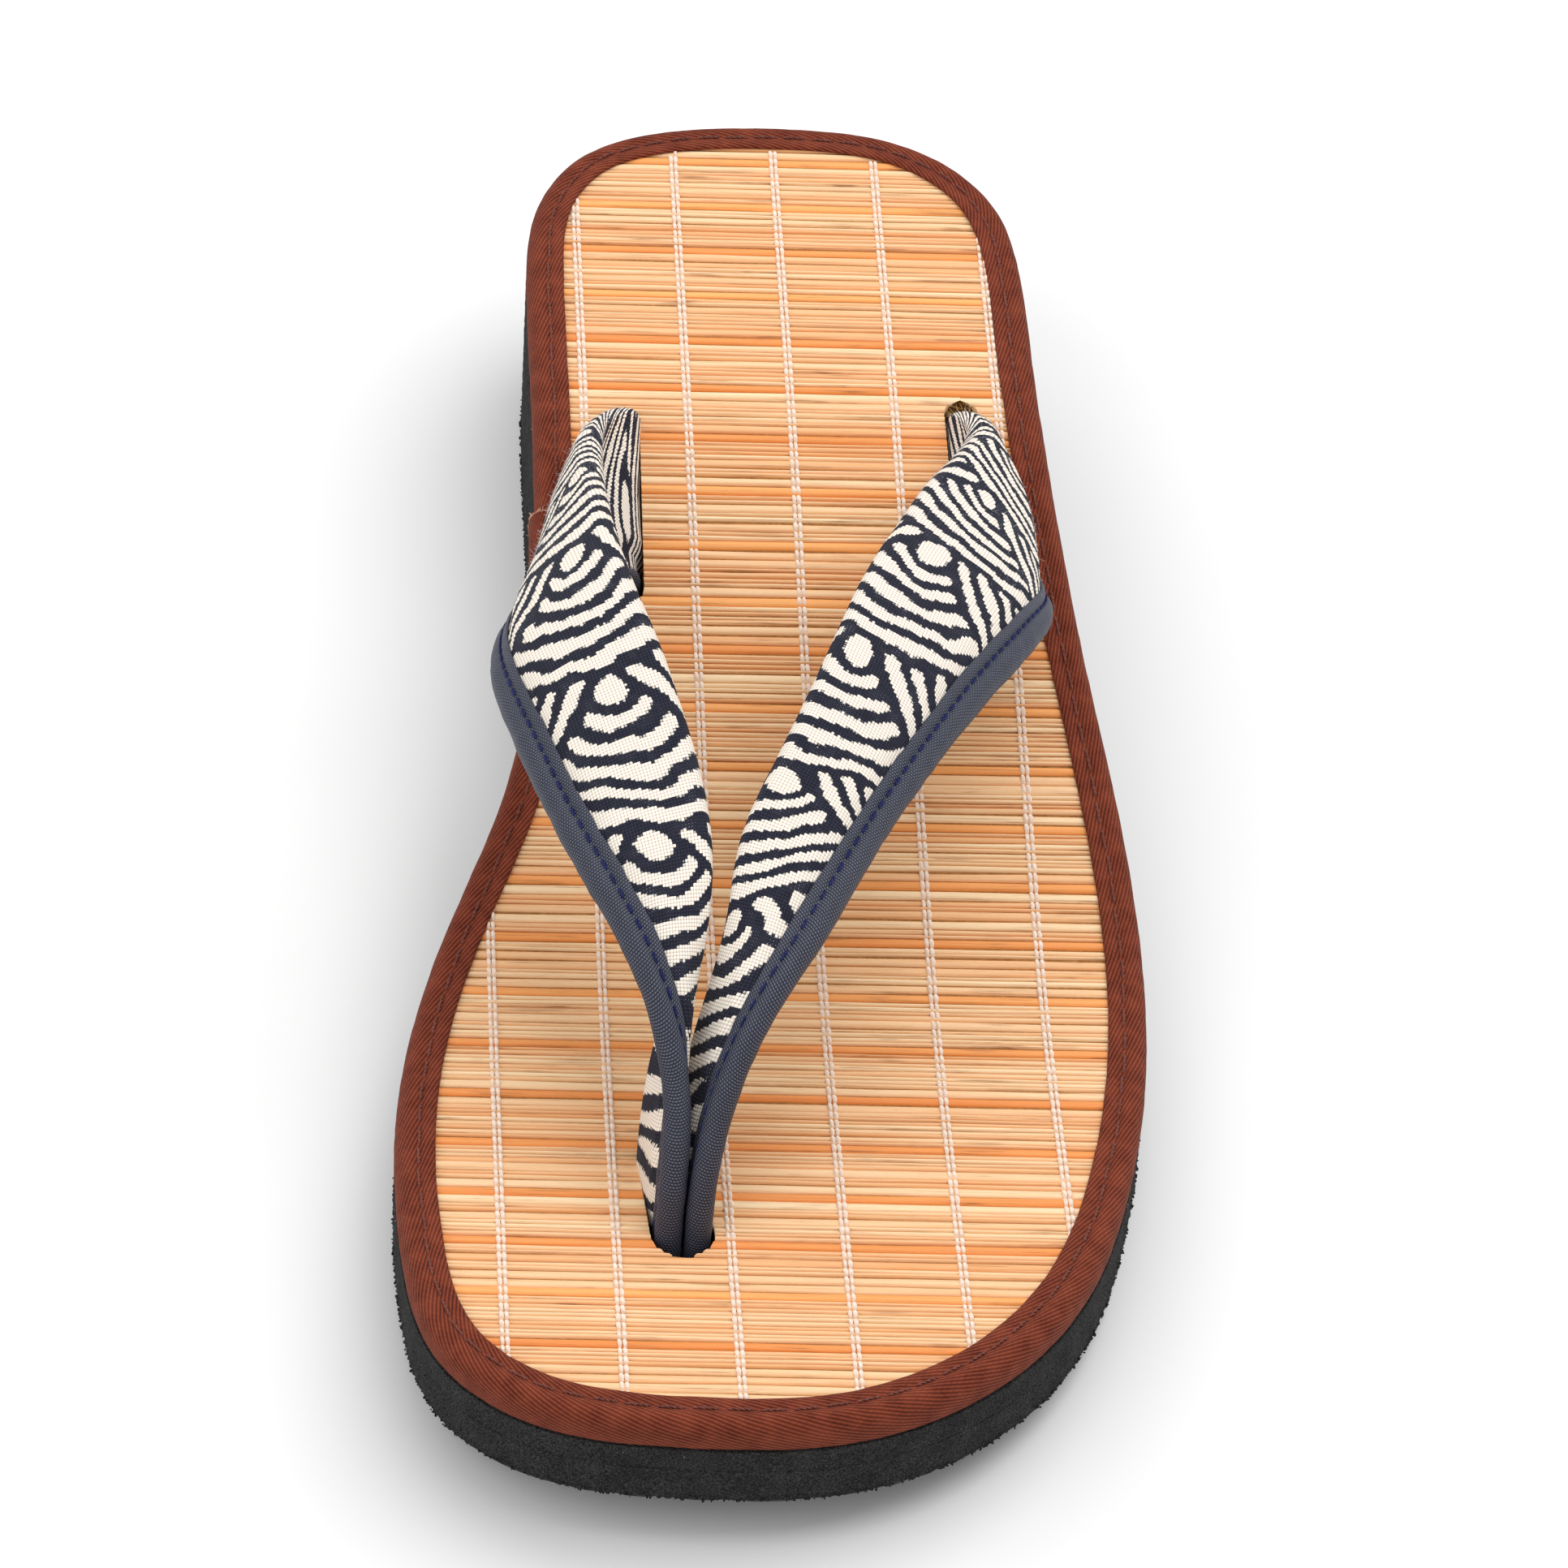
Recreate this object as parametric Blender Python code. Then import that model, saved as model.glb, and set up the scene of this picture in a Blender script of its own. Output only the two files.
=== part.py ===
"""Zori sandal for the left foot: wedge sole, stick mat footbed, taped edge and thong strap.

Metres, +Z up. The toe points to -Y, the outer side of the foot is +X, and the sole
stands on Z = 0. Shapes are worked out in millimetres and written in metres.
"""
import math

import bmesh
import bpy
import numpy as np
from mathutils import Vector

MM = 0.001

# Gap that touching pieces keep
GAP = 0.3

# Plan of the sandal, seen from above: outer edge of the edge tape
OUTLINE = [
    # x, y, starting at the heel and going round by the inner side of the foot
    (-3.5, 122.3), (-20.0, 120.4), (-32.2, 114.4), (-38.4, 103.5), (-39.4, 88.0),
    (-37.6, 62.0), (-36.0, 36.0), (-35.8, 12.0), (-38.9, -8.0), (-44.5, -27.0),
    (-48.8, -48.0), (-49.7, -70.0), (-47.7, -90.0), (-41.4, -109.6), (-29.5, -119.4),
    (-10.0, -122.4), (10.0, -120.3), (27.0, -110.6), (39.0, -95.0), (46.6, -71.0),
    (49.7, -38.0), (46.6, -6.0), (41.3, 22.0), (36.9, 50.0), (34.2, 75.0),
    (32.5, 94.0), (28.1, 109.0), (16.0, 119.6),
]
OUTLINE_COUNT = 84

# Side view: height of the mat's surface along the sandal
FOOTBED_PROFILE = [
    # y, height above the ground
    (124.0, 35.8), (100.0, 34.3), (80.0, 33.5), (65.0, 32.6), (50.0, 30.8),
    (35.0, 27.9), (15.0, 23.5), (-5.0, 19.0), (-20.0, 16.1), (-34.0, 14.3),
    (-48.0, 14.0), (-66.0, 15.2), (-86.0, 17.2), (-106.0, 19.5), (-125.0, 21.8),
]
PROFILE_COUNT = 200

# Toe spring: the underside leaves the ground here and is this high at the tip
SPRING_START_Y = -48.0
SPRING_END_Y = -123.0
SPRING_HEIGHT = 8.0
SPRING_POWER = 1.5

# Layers
FOOTBED_THICK = 4.0
FOOTBED_RIM_THICK = 3.1
RIM_ROUND = 1.0
TAPE_THICK = 0.6
TAPE_TOP_WIDTH = 5.2
TAPE_UNDER_WIDTH = 4.4
MIDSOLE_INSET_TOP = 0.4
MIDSOLE_CORNER_INSET = 0.5
MIDSOLE_CORNER_HEIGHT = 0.6
OUTSOLE_THICK = 6.0
OUTSOLE_INSET = 0.3

# Tread: ridges across the sole that zigzag
RIDGE_PITCH = 4.6
RIDGE_DEPTH = 1.3
RIDGE_LAND = 1.8
RIDGE_FLOOR = 0.5
ZIGZAG_PERIOD = 25.0
ZIGZAG_SHIFT = 6.0
TREAD_START_Y = -136.6

# The block that forms the tread, and the sheet it is cut from, reach past the sole
TREAD_MARGIN = 4.0
TREAD_ROOF = 24.0
SHEET_BOTTOM = -2.0

# Openings for the strap: centre, length, width at each end and turn about Z in degrees
SLOT_INNER = {
    "x": -23.6, "y": 43.6, "length": 35.4, "toe_width": 4.8, "heel_width": 4.8, "turn": 3.4,
}
SLOT_OUTER = {
    "x": 25.0, "y": 46.3, "length": 38.6, "toe_width": 4.8, "heel_width": 4.8, "turn": 4.3,
}
TOE_HOLE = {
    "x": -12.3, "y": -79.4, "length": 21.2, "toe_width": 9.2, "heel_width": 8.2, "turn": 9.0,
}

# The side slots end in blind pockets in the midsole, and the toe hole goes right through it
POCKET_DEPTH = 9.0
CUTTER_REACH = 12.0
TOE_HOLE_LOW = 4.0
TOE_HOLE_HIGH = 30.0
HOLE_ROUND_STEPS = 6

# Strap arms, a row for each ruled line across the band, from the slot to the toe hole.
# Rear edge is the plain folded edge, front edge is the edge that carries the piping.
INNER_ARM = [
    # rear x, y, z, front x, y, z, crown
    (-24.4, 59.4, 26.5, -22.6, 28.0, 19.5, 0.0),
    (-24.5, 58.8, 33.8, -22.8, 28.2, 27.8, 0.0),
    (-27.2, 53.4, 36.8, -26.7, 23.8, 30.2, 1.8),
    (-28.4, 44.6, 40.1, -31.0, 17.0, 33.4, 2.4),
    (-28.0, 34.8, 43.7, -35.2, 10.0, 36.6, 2.0),
    (-26.7, 24.5, 47.7, -38.6, 1.8, 39.4, 1.8),
    (-24.9, 12.2, 51.7, -40.0, -6.8, 41.8, 1.8),
    (-22.2, -0.6, 54.4, -39.3, -15.0, 43.5, 1.8),
    (-18.6, -12.2, 54.6, -36.6, -24.0, 44.3, 1.5),
    (-12.8, -30.4, 50.6, -29.4, -42.8, 44.2, 1.0),
    (-9.7, -46.5, 45.3, -20.8, -60.0, 42.0, 0.6),
    (-9.9, -54.8, 40.6, -16.2, -70.0, 38.6, 0.3),
    (-12.7, -62.5, 32.0, -13.0, -79.0, 31.8, 0.1),
    (-14.9, -68.4, 23.0, -13.0, -85.6, 23.0, 0.0),
    (-15.2, -70.8, 9.8, -13.2, -88.0, 9.8, 0.0),
]
OUTER_ARM = [
    # rear x, y, z, front x, y, z, crown
    (23.7, 63.9, 26.5, 26.4, 28.9, 19.5, 0.0),
    (23.7, 63.2, 34.2, 26.3, 29.4, 28.4, 0.0),
    (25.6, 57.8, 36.6, 29.8, 26.0, 30.6, 1.3),
    (24.6, 49.4, 39.6, 33.4, 20.4, 33.2, 1.6),
    (21.4, 40.8, 42.3, 35.2, 14.0, 36.4, 1.4),
    (17.6, 31.6, 44.9, 34.2, 8.0, 39.2, 1.4),
    (13.6, 19.6, 48.2, 31.5, 1.2, 41.0, 1.8),
    (9.4, 6.6, 51.2, 27.3, -6.8, 42.1, 1.8),
    (5.9, -6.0, 52.6, 22.6, -16.0, 42.8, 1.5),
    (-1.6, -28.6, 50.5, 12.4, -38.0, 43.2, 1.0),
    (-7.0, -44.4, 45.0, 3.4, -59.0, 42.2, 0.6),
    (-7.6, -53.6, 40.4, -3.2, -70.8, 38.9, 0.3),
    (-9.9, -62.0, 32.0, -7.3, -79.2, 31.8, 0.1),
    (-12.0, -68.2, 23.0, -8.8, -85.4, 23.0, 0.0),
    (-12.2, -70.7, 9.8, -9.0, -87.8, 9.8, 0.0),
]
ARM_STATIONS = 27
ARM_CROWDING = 1.2
INNER_SIDE = 1
OUTER_SIDE = -1
NORMAL_SMOOTHING = 3

# Strap and piping cross section
BAND_FRONT = 0.9
BAND_HALF = 1.7
BAND_EDGE_HALF = 1.0
PIPING_WIDTH = 5.1
PIPING_RADIUS = 1.8
PIPING_WALL = 0.45
PIPING_ROUND_STEPS = 3

SMOOTH_ANGLE = math.radians(35.0)


def clear_scene():
    for old in list(bpy.data.objects):
        bpy.data.objects.remove(old, do_unlink=True)


def make_collection(name):
    group = bpy.data.collections.new(name)
    bpy.context.scene.collection.children.link(group)
    return group


def make_material(name, colour, roughness):
    material = bpy.data.materials.new(name)
    material.use_nodes = True
    shader = material.node_tree.nodes["Principled BSDF"]
    shader.inputs["Base Color"].default_value = (*colour, 1.0)
    shader.inputs["Roughness"].default_value = roughness
    shader.inputs["Metallic"].default_value = 0.0
    return material


def spline_slopes(marks, values, closed):
    """Slopes of a cubic spline through the values, natural at open ends."""
    count = len(marks) - (1 if closed else 0)
    matrix = np.zeros((count, count))
    right = np.zeros((count, values.shape[1]))
    steps = np.diff(marks)
    rises = np.diff(values, axis=0) / steps[:, None]
    for i in range(count):
        if closed or 0 < i < count - 1:
            before, after = steps[i - 1], steps[i % len(steps)]
            matrix[i, (i - 1) % count] += after
            matrix[i, i] += 2 * (before + after)
            matrix[i, (i + 1) % count] += before
            right[i] = 3 * (after * rises[i - 1] + before * rises[i % len(rises)])
        else:
            inner, step = (1, 0) if i == 0 else (count - 2, count - 2)
            matrix[i, i] = 2
            matrix[i, inner] = 1
            right[i] = 3 * rises[step]
    slopes = np.linalg.solve(matrix, right)
    return np.vstack([slopes, slopes[:1]]) if closed else slopes


def smooth_rows(rows, count, closed=False, crowding=1.0):
    """Rows of numbers read off a cubic spline along its length.

    They are evenly spaced, or closer at the start when crowding is over 1.
    """
    values = np.array(rows, dtype=float)
    if closed:
        values = np.vstack([values, values[:1]])
    lengths = np.linalg.norm(np.diff(values, axis=0), axis=1)
    marks = np.concatenate([[0.0], np.cumsum(lengths)])
    slopes = spline_slopes(marks, values, closed)
    wanted = marks[-1] * np.linspace(0.0, 1.0, count + 1 if closed else count) ** crowding
    if closed:
        wanted = wanted[:-1]
    places = np.clip(np.searchsorted(marks, wanted, side="right") - 1, 0, len(marks) - 2)
    result = []
    for mark, i in zip(wanted, places):
        step = marks[i + 1] - marks[i]
        t = (mark - marks[i]) / step
        result.append(
            (2 * t**3 - 3 * t**2 + 1) * values[i]
            + (t**3 - 2 * t**2 + t) * step * slopes[i]
            + (3 * t**2 - 2 * t**3) * values[i + 1]
            + (t**3 - t**2) * step * slopes[i + 1]
        )
    return np.array(result)


PROFILE_SAMPLES = smooth_rows(FOOTBED_PROFILE, PROFILE_COUNT)[::-1]


def footbed_height(y):
    return float(np.interp(y, PROFILE_SAMPLES[:, 0], PROFILE_SAMPLES[:, 1]))


def ground_height(y):
    """Height of the underside: flat, then the toe spring."""
    reach = (SPRING_START_Y - y) / (SPRING_START_Y - SPRING_END_Y)
    return SPRING_HEIGHT * max(reach, 0.0) ** SPRING_POWER


EDGE = smooth_rows(OUTLINE, OUTLINE_COUNT, closed=True)


def plan_ring(inset):
    """The outline moved inwards by a distance."""
    ahead = np.roll(EDGE, -1, axis=0)
    behind = np.roll(EDGE, 1, axis=0)
    along = ahead - behind
    along /= np.linalg.norm(along, axis=1)[:, None]
    inward = np.column_stack([-along[:, 1], along[:, 0]])
    return EDGE + inward * inset


def height_ring(inset, height):
    return [(x, y, height(y)) for x, y in plan_ring(inset)]


def link_mesh(name, mesh, group, material):
    piece = bpy.data.objects.new(name, mesh)
    group.objects.link(piece)
    if material is not None:
        mesh.materials.append(material)
    return piece


def mesh_from_faces(name, points, faces):
    shape = bmesh.new()
    corners = [shape.verts.new(Vector(p) * MM) for p in points]
    for face in faces:
        shape.faces.new([corners[i] for i in face])
    bmesh.ops.recalc_face_normals(shape, faces=shape.faces)
    mesh = bpy.data.meshes.new(name)
    shape.to_mesh(mesh)
    shape.free()
    return mesh


def shade(piece):
    piece.data.shade_smooth()
    piece.data.set_sharp_from_angle(angle=SMOOTH_ANGLE)


def slab_mesh(name, rings):
    """A sole layer: rings from the bottom up, closed by strips across the width."""
    count = len(rings[0])
    half = count // 2
    points = [p for ring in rings for p in ring]
    faces = []
    for level in range(len(rings) - 1):
        low, high = level * count, (level + 1) * count
        for i in range(count):
            j = (i + 1) % count
            faces.append((low + i, low + j, high + j, high + i))
    for start in (0, (len(rings) - 1) * count):
        for i in range(half):
            left = (start + i, start + i + 1)
            right = (start + (count - i - 1) % count, start + (count - i) % count)
            faces.append(tuple(dict.fromkeys((*left, *right))))
    return mesh_from_faces(name, points, faces)


def hoop_mesh(name, rings):
    """A closed tube round the outline: the last ring joins the first."""
    count = len(rings[0])
    points = [p for ring in rings for p in ring]
    faces = []
    for level in range(len(rings)):
        low = level * count
        high = (level + 1) % len(rings) * count
        for i in range(count):
            j = (i + 1) % count
            faces.append((low + i, low + j, high + j, high + i))
    return mesh_from_faces(name, points, faces)


def tube_mesh(name, sections):
    """A band or tube through a row of sections, closed by flat ends."""
    count = len(sections[0])
    points = [p for section in sections for p in section]
    faces = []
    for level in range(len(sections) - 1):
        low, high = level * count, (level + 1) * count
        for i in range(count):
            j = (i + 1) % count
            faces.append((low + i, low + j, high + j, high + i))
    faces.append(tuple(range(count)))
    faces.append(tuple(len(points) - count + i for i in range(count)))
    return mesh_from_faces(name, points, faces)


def use_boolean(piece, cutter, operation):
    step = piece.modifiers.new(operation.lower(), "BOOLEAN")
    step.operation = operation
    step.solver = "EXACT"
    step.object = cutter


def hide_cutter(cutter):
    cutter.hide_render = True
    cutter.display_type = "WIRE"


def slot_cutter(name, slot, low, high, group):
    """An upright plug with round ends, for a slot or the toe hole."""
    turn = math.radians(slot["turn"])
    plan = []
    for side, width in ((1, slot["heel_width"]), (-1, slot["toe_width"])):
        radius = width / 2
        reach = slot["length"] / 2 - radius
        for k in range(HOLE_ROUND_STEPS + 1):
            angle = math.pi * k / HOLE_ROUND_STEPS + (0.0 if side == 1 else math.pi)
            x = radius * math.cos(angle)
            y = radius * math.sin(angle) + side * reach
            plan.append((
                slot["x"] + x * math.cos(turn) - y * math.sin(turn),
                slot["y"] + x * math.sin(turn) + y * math.cos(turn),
            ))
    sections = [[(x, y, z) for x, y in plan] for z in (low, high)]
    cutter = link_mesh(name, tube_mesh(name, sections), group, None)
    hide_cutter(cutter)
    return cutter


def make_footbed(group, material):
    """Stick mat with its backing, thinner at the rim where the edge tape folds under."""
    rim_inset = TAPE_THICK + GAP
    core_inset = TAPE_UNDER_WIDTH + GAP
    rings = [
        height_ring(core_inset, lambda y: footbed_height(y) - FOOTBED_THICK),
        height_ring(core_inset, lambda y: footbed_height(y) - FOOTBED_RIM_THICK),
        height_ring(rim_inset, lambda y: footbed_height(y) - FOOTBED_RIM_THICK),
        height_ring(rim_inset, lambda y: footbed_height(y) - RIM_ROUND),
        height_ring(rim_inset + RIM_ROUND, footbed_height),
    ]
    return link_mesh("footbed", slab_mesh("footbed", rings), group, material)


def make_binding(group, material):
    """Woven tape folded over the footbed's edge: top face, edge and a fold under."""
    under = FOOTBED_RIM_THICK + GAP
    section = [
        # inset, height over the mat
        (TAPE_TOP_WIDTH, GAP),
        (TAPE_TOP_WIDTH, GAP + TAPE_THICK),
        (1.7, GAP + TAPE_THICK),
        (0.5, 0.2),
        (0.0, -1.1),
        (0.0, -under),
        (0.4, -under - TAPE_THICK),
        (TAPE_UNDER_WIDTH, -under - TAPE_THICK),
        (TAPE_UNDER_WIDTH, -under),
        (TAPE_THICK, -under),
        (TAPE_THICK, -RIM_ROUND),
        (1.9, GAP),
    ]
    rings = [
        height_ring(inset, lambda y, rise=rise: footbed_height(y) + rise)
        for inset, rise in section
    ]
    return link_mesh("binding", hoop_mesh("binding", rings), group, material)


def midsole_top(y):
    return footbed_height(y) - FOOTBED_THICK - GAP


def outsole_top(y):
    return ground_height(y) + OUTSOLE_THICK


def make_midsole(group, material):
    """Foam wedge between footbed and outsole."""
    rings = [
        height_ring(OUTSOLE_INSET, lambda y: outsole_top(y) + GAP),
        height_ring(OUTSOLE_INSET, lambda y: 0.5 * (outsole_top(y) + midsole_top(y))),
        height_ring(MIDSOLE_INSET_TOP, lambda y: midsole_top(y) - MIDSOLE_CORNER_HEIGHT),
        height_ring(MIDSOLE_INSET_TOP + MIDSOLE_CORNER_INSET, midsole_top),
    ]
    return link_mesh("midsole", slab_mesh("midsole", rings), group, material)


def tread_block_mesh(name):
    """A block whose underside carries the zigzag ridges, wider than the sole."""
    x_low, x_high = EDGE[:, 0].min() - TREAD_MARGIN, EDGE[:, 0].max() + TREAD_MARGIN
    y_low, y_high = TREAD_START_Y, EDGE[:, 1].max() + ZIGZAG_SHIFT
    step = ZIGZAG_PERIOD / 2
    first = math.floor(x_low / step)
    last = math.ceil(x_high / step)
    columns = [(k * step, ZIGZAG_SHIFT * (k % 2)) for k in range(first, last + 1)]
    flank = (RIDGE_PITCH - RIDGE_LAND - RIDGE_FLOOR) / 2
    marks = [
        # place along one ridge, height
        (0.0, 0.0),
        (RIDGE_LAND, 0.0),
        (RIDGE_LAND + flank, RIDGE_DEPTH),
        (RIDGE_LAND + flank + RIDGE_FLOOR, RIDGE_DEPTH),
    ]
    rows = []
    for ridge in range(math.ceil((y_high - y_low) / RIDGE_PITCH)):
        for place, height in marks:
            rows.append((y_low + ridge * RIDGE_PITCH + place, height))
    wide = len(columns)
    points = []
    for y, height in rows:
        points += [(x, y + shift, ground_height(y + shift) + height) for x, shift in columns]
    floor_count = len(points)
    points += [(x, y, TREAD_ROOF) for x, y, z in points]
    faces = []
    for j in range(len(rows) - 1):
        for i in range(wide - 1):
            a = j * wide + i
            faces.append((a, a + 1, a + wide + 1, a + wide))
    border = [i for i in range(wide)]
    border += [j * wide + wide - 1 for j in range(1, len(rows))]
    border += [(len(rows) - 1) * wide + i for i in range(wide - 2, -1, -1)]
    border += [j * wide for j in range(len(rows) - 2, 0, -1)]
    for a, b in zip(border, border[1:] + border[:1]):
        faces.append((a, b, b + floor_count, a + floor_count))
    faces.append(tuple(a + floor_count for a in border))
    used = sorted({i for face in faces for i in face})
    order = {old: new for new, old in enumerate(used)}
    return mesh_from_faces(
        name, [points[i] for i in used], [tuple(order[i] for i in f) for f in faces]
    )


def make_outsole(group, cutters, material):
    """Thin sheet with its tread, cut to the sole's outline."""
    rings = [
        height_ring(OUTSOLE_INSET, lambda y: SHEET_BOTTOM),
        height_ring(OUTSOLE_INSET, outsole_top),
    ]
    piece = link_mesh("outsole", slab_mesh("outsole", rings), group, material)
    tread = link_mesh("tread_form", tread_block_mesh("tread_form"), cutters, None)
    hide_cutter(tread)
    use_boolean(piece, tread, "INTERSECT")
    return piece


def band_frames(rows, side):
    """Front point, direction to the rear edge, outward normal, width and crown of each row."""
    table = smooth_rows(rows, ARM_STATIONS, crowding=ARM_CROWDING)
    rear, front, crown = table[:, 0:3], table[:, 3:6], table[:, 6]
    width = np.linalg.norm(rear - front, axis=1)
    across = (rear - front) / width[:, None]
    along = np.gradient((rear + front) / 2, axis=0)
    normal = side * np.cross(along, across)
    for _ in range(NORMAL_SMOOTHING):
        normal /= np.linalg.norm(normal, axis=1)[:, None]
        normal[1:-1] = 0.25 * normal[:-2] + 0.5 * normal[1:-1] + 0.25 * normal[2:]
    normal -= across * np.sum(normal * across, axis=1)[:, None]
    normal /= np.linalg.norm(normal, axis=1)[:, None]
    return list(zip(front, across, normal, width, np.maximum(crown, 0.0)))


def place_section(frame, section):
    front, across, normal, width, crown = frame
    points = []
    for u, v in section:
        rise = crown * math.sin(math.pi * min(max(u / width, 0.0), 1.0))
        points.append(tuple(front + across * u + normal * (v + rise)))
    return points


def band_section(width):
    """Padded band: thin where the piping grips it, full in the middle, round at the rear."""
    upper = [
        # distance from the front edge, half thickness
        (BAND_FRONT, BAND_EDGE_HALF * 0.8),
        (BAND_FRONT + 0.4, BAND_EDGE_HALF),
        (PIPING_WIDTH - 0.2, BAND_EDGE_HALF),
        (PIPING_WIDTH + 1.4, BAND_HALF * 0.9),
        (width * 0.62, BAND_HALF),
        (width - 1.6, BAND_HALF * 0.94),
        (width - 0.4, BAND_HALF * 0.6),
        (width, BAND_HALF * 0.2),
    ]
    return upper + [(u, -v) for u, v in reversed(upper)]


def piping_section():
    """Tape rolled round the band's front edge, with a flange on both faces."""
    inner = PIPING_RADIUS - PIPING_WALL
    lip = BAND_FRONT - GAP
    # Points are distance from the front edge, height over the band's middle
    outside = [(PIPING_WIDTH, PIPING_RADIUS - 0.05), (PIPING_RADIUS, PIPING_RADIUS)]
    for k in range(1, PIPING_ROUND_STEPS):
        angle = math.pi / 2 * (1 + k / PIPING_ROUND_STEPS)
        outside.append((
            PIPING_RADIUS * (1 + math.cos(angle)),
            PIPING_RADIUS * math.sin(angle),
        ))
    inside = [(lip, 0.8 * inner - 0.3), (lip + 0.6, inner), (PIPING_WIDTH - 0.1, inner)]
    upper = outside + [(0.0, 0.0)]
    lower = [(u, -v) for u, v in reversed(outside)]
    hollow = [(u, -v) for u, v in reversed(inside)] + inside
    return upper + lower + hollow


def arm_mesh(name, rows, side):
    frames = band_frames(rows, side)
    return tube_mesh(name, [place_section(f, band_section(f[3])) for f in frames])


def make_strap(group, cutters, material):
    """The upper: two padded arms that join where they meet over the toe post."""
    piece = link_mesh("strap", arm_mesh("strap", INNER_ARM, INNER_SIDE), group, material)
    other_mesh = arm_mesh("strap_outer_arm", OUTER_ARM, OUTER_SIDE)
    other = link_mesh("strap_outer_arm", other_mesh, cutters, None)
    hide_cutter(other)
    use_boolean(piece, other, "UNION")
    return piece


def make_piping(name, rows, side, group, material):
    frames = band_frames(rows, side)
    sections = [place_section(f, piping_section()) for f in frames]
    return link_mesh(name, tube_mesh(name, sections), group, material)


def cut_openings(footbed, midsole, cutters):
    """Side slots through the footbed into blind pockets, and the toe hole through both."""
    for name, slot in (("slot_inner", SLOT_INNER), ("slot_outer", SLOT_OUTER)):
        surface = footbed_height(slot["y"])
        high = surface + CUTTER_REACH
        through = slot_cutter(name + "_through", slot, surface - CUTTER_REACH, high, cutters)
        use_boolean(footbed, through, "DIFFERENCE")
        pocket_floor = surface - FOOTBED_THICK - POCKET_DEPTH
        pocket = slot_cutter(name + "_pocket", slot, pocket_floor, high, cutters)
        use_boolean(midsole, pocket, "DIFFERENCE")
    for name, piece in (("toe_hole_footbed", footbed), ("toe_hole_midsole", midsole)):
        hole = slot_cutter(name, TOE_HOLE, TOE_HOLE_LOW, TOE_HOLE_HIGH, cutters)
        use_boolean(piece, hole, "DIFFERENCE")


def build():
    clear_scene()
    sandal = make_collection("zori_sandal")
    cutters = make_collection("cutters")
    foam = make_material("black_foam", (0.025, 0.025, 0.026), 0.9)
    rubber = make_material("black_tread", (0.035, 0.035, 0.037), 0.7)
    mat = make_material("stick_mat", (0.80, 0.56, 0.30), 0.55)
    tape = make_material("brown_tape", (0.19, 0.045, 0.022), 0.85)
    cloth = make_material("printed_cloth", (0.45, 0.41, 0.34), 0.9)
    ribbed = make_material("navy_tape", (0.045, 0.06, 0.11), 0.7)

    outsole = make_outsole(sandal, cutters, rubber)
    midsole = make_midsole(sandal, foam)
    footbed = make_footbed(sandal, mat)
    binding = make_binding(sandal, tape)
    cut_openings(footbed, midsole, cutters)
    strap = make_strap(sandal, cutters, cloth)
    inner_piping = make_piping("piping_inner", INNER_ARM, INNER_SIDE, sandal, ribbed)
    outer_piping = make_piping("piping_outer", OUTER_ARM, OUTER_SIDE, sandal, ribbed)
    for piece in (binding, strap, inner_piping, outer_piping, midsole, footbed, outsole):
        shade(piece)


build()
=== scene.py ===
import math

import bmesh
import bpy
import numpy as np
from mathutils import Matrix, Vector


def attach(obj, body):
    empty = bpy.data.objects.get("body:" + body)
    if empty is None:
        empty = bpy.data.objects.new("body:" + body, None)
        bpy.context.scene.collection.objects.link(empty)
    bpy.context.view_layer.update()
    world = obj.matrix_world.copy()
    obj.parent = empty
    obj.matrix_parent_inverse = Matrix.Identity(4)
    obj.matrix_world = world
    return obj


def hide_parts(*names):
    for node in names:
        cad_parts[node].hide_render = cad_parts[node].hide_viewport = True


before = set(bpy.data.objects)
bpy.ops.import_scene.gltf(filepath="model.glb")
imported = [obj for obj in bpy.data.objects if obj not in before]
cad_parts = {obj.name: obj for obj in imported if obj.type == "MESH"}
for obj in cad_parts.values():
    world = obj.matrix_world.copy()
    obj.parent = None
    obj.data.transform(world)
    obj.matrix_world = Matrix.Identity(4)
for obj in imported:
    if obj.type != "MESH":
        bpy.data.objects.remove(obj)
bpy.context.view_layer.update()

MM = 0.001
RANDOM = np.random.default_rng(11)
RIGHT = np.array((1.0, 0.0, 0.0))
UP = np.array((0.0, 0.0, 1.0))

# Plan of the sandal, seen from above: outer edge of the edge tape
OUTLINE = [
    # x, y, starting at the heel and going round by the inner side of the foot
    (-3.5, 122.3), (-20.0, 120.4), (-32.2, 114.4), (-38.4, 103.5), (-39.4, 88.0),
    (-37.6, 62.0), (-36.0, 36.0), (-35.8, 12.0), (-38.9, -8.0), (-44.5, -27.0),
    (-48.8, -48.0), (-49.7, -70.0), (-47.7, -90.0), (-41.4, -109.6), (-29.5, -119.4),
    (-10.0, -122.4), (10.0, -120.3), (27.0, -110.6), (39.0, -95.0), (46.6, -71.0),
    (49.7, -38.0), (46.6, -6.0), (41.3, 22.0), (36.9, 50.0), (34.2, 75.0),
    (32.5, 94.0), (28.1, 109.0), (16.0, 119.6),
]
OUTLINE_COUNT = 1200
DIRECTION_REACH = 0.8

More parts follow.
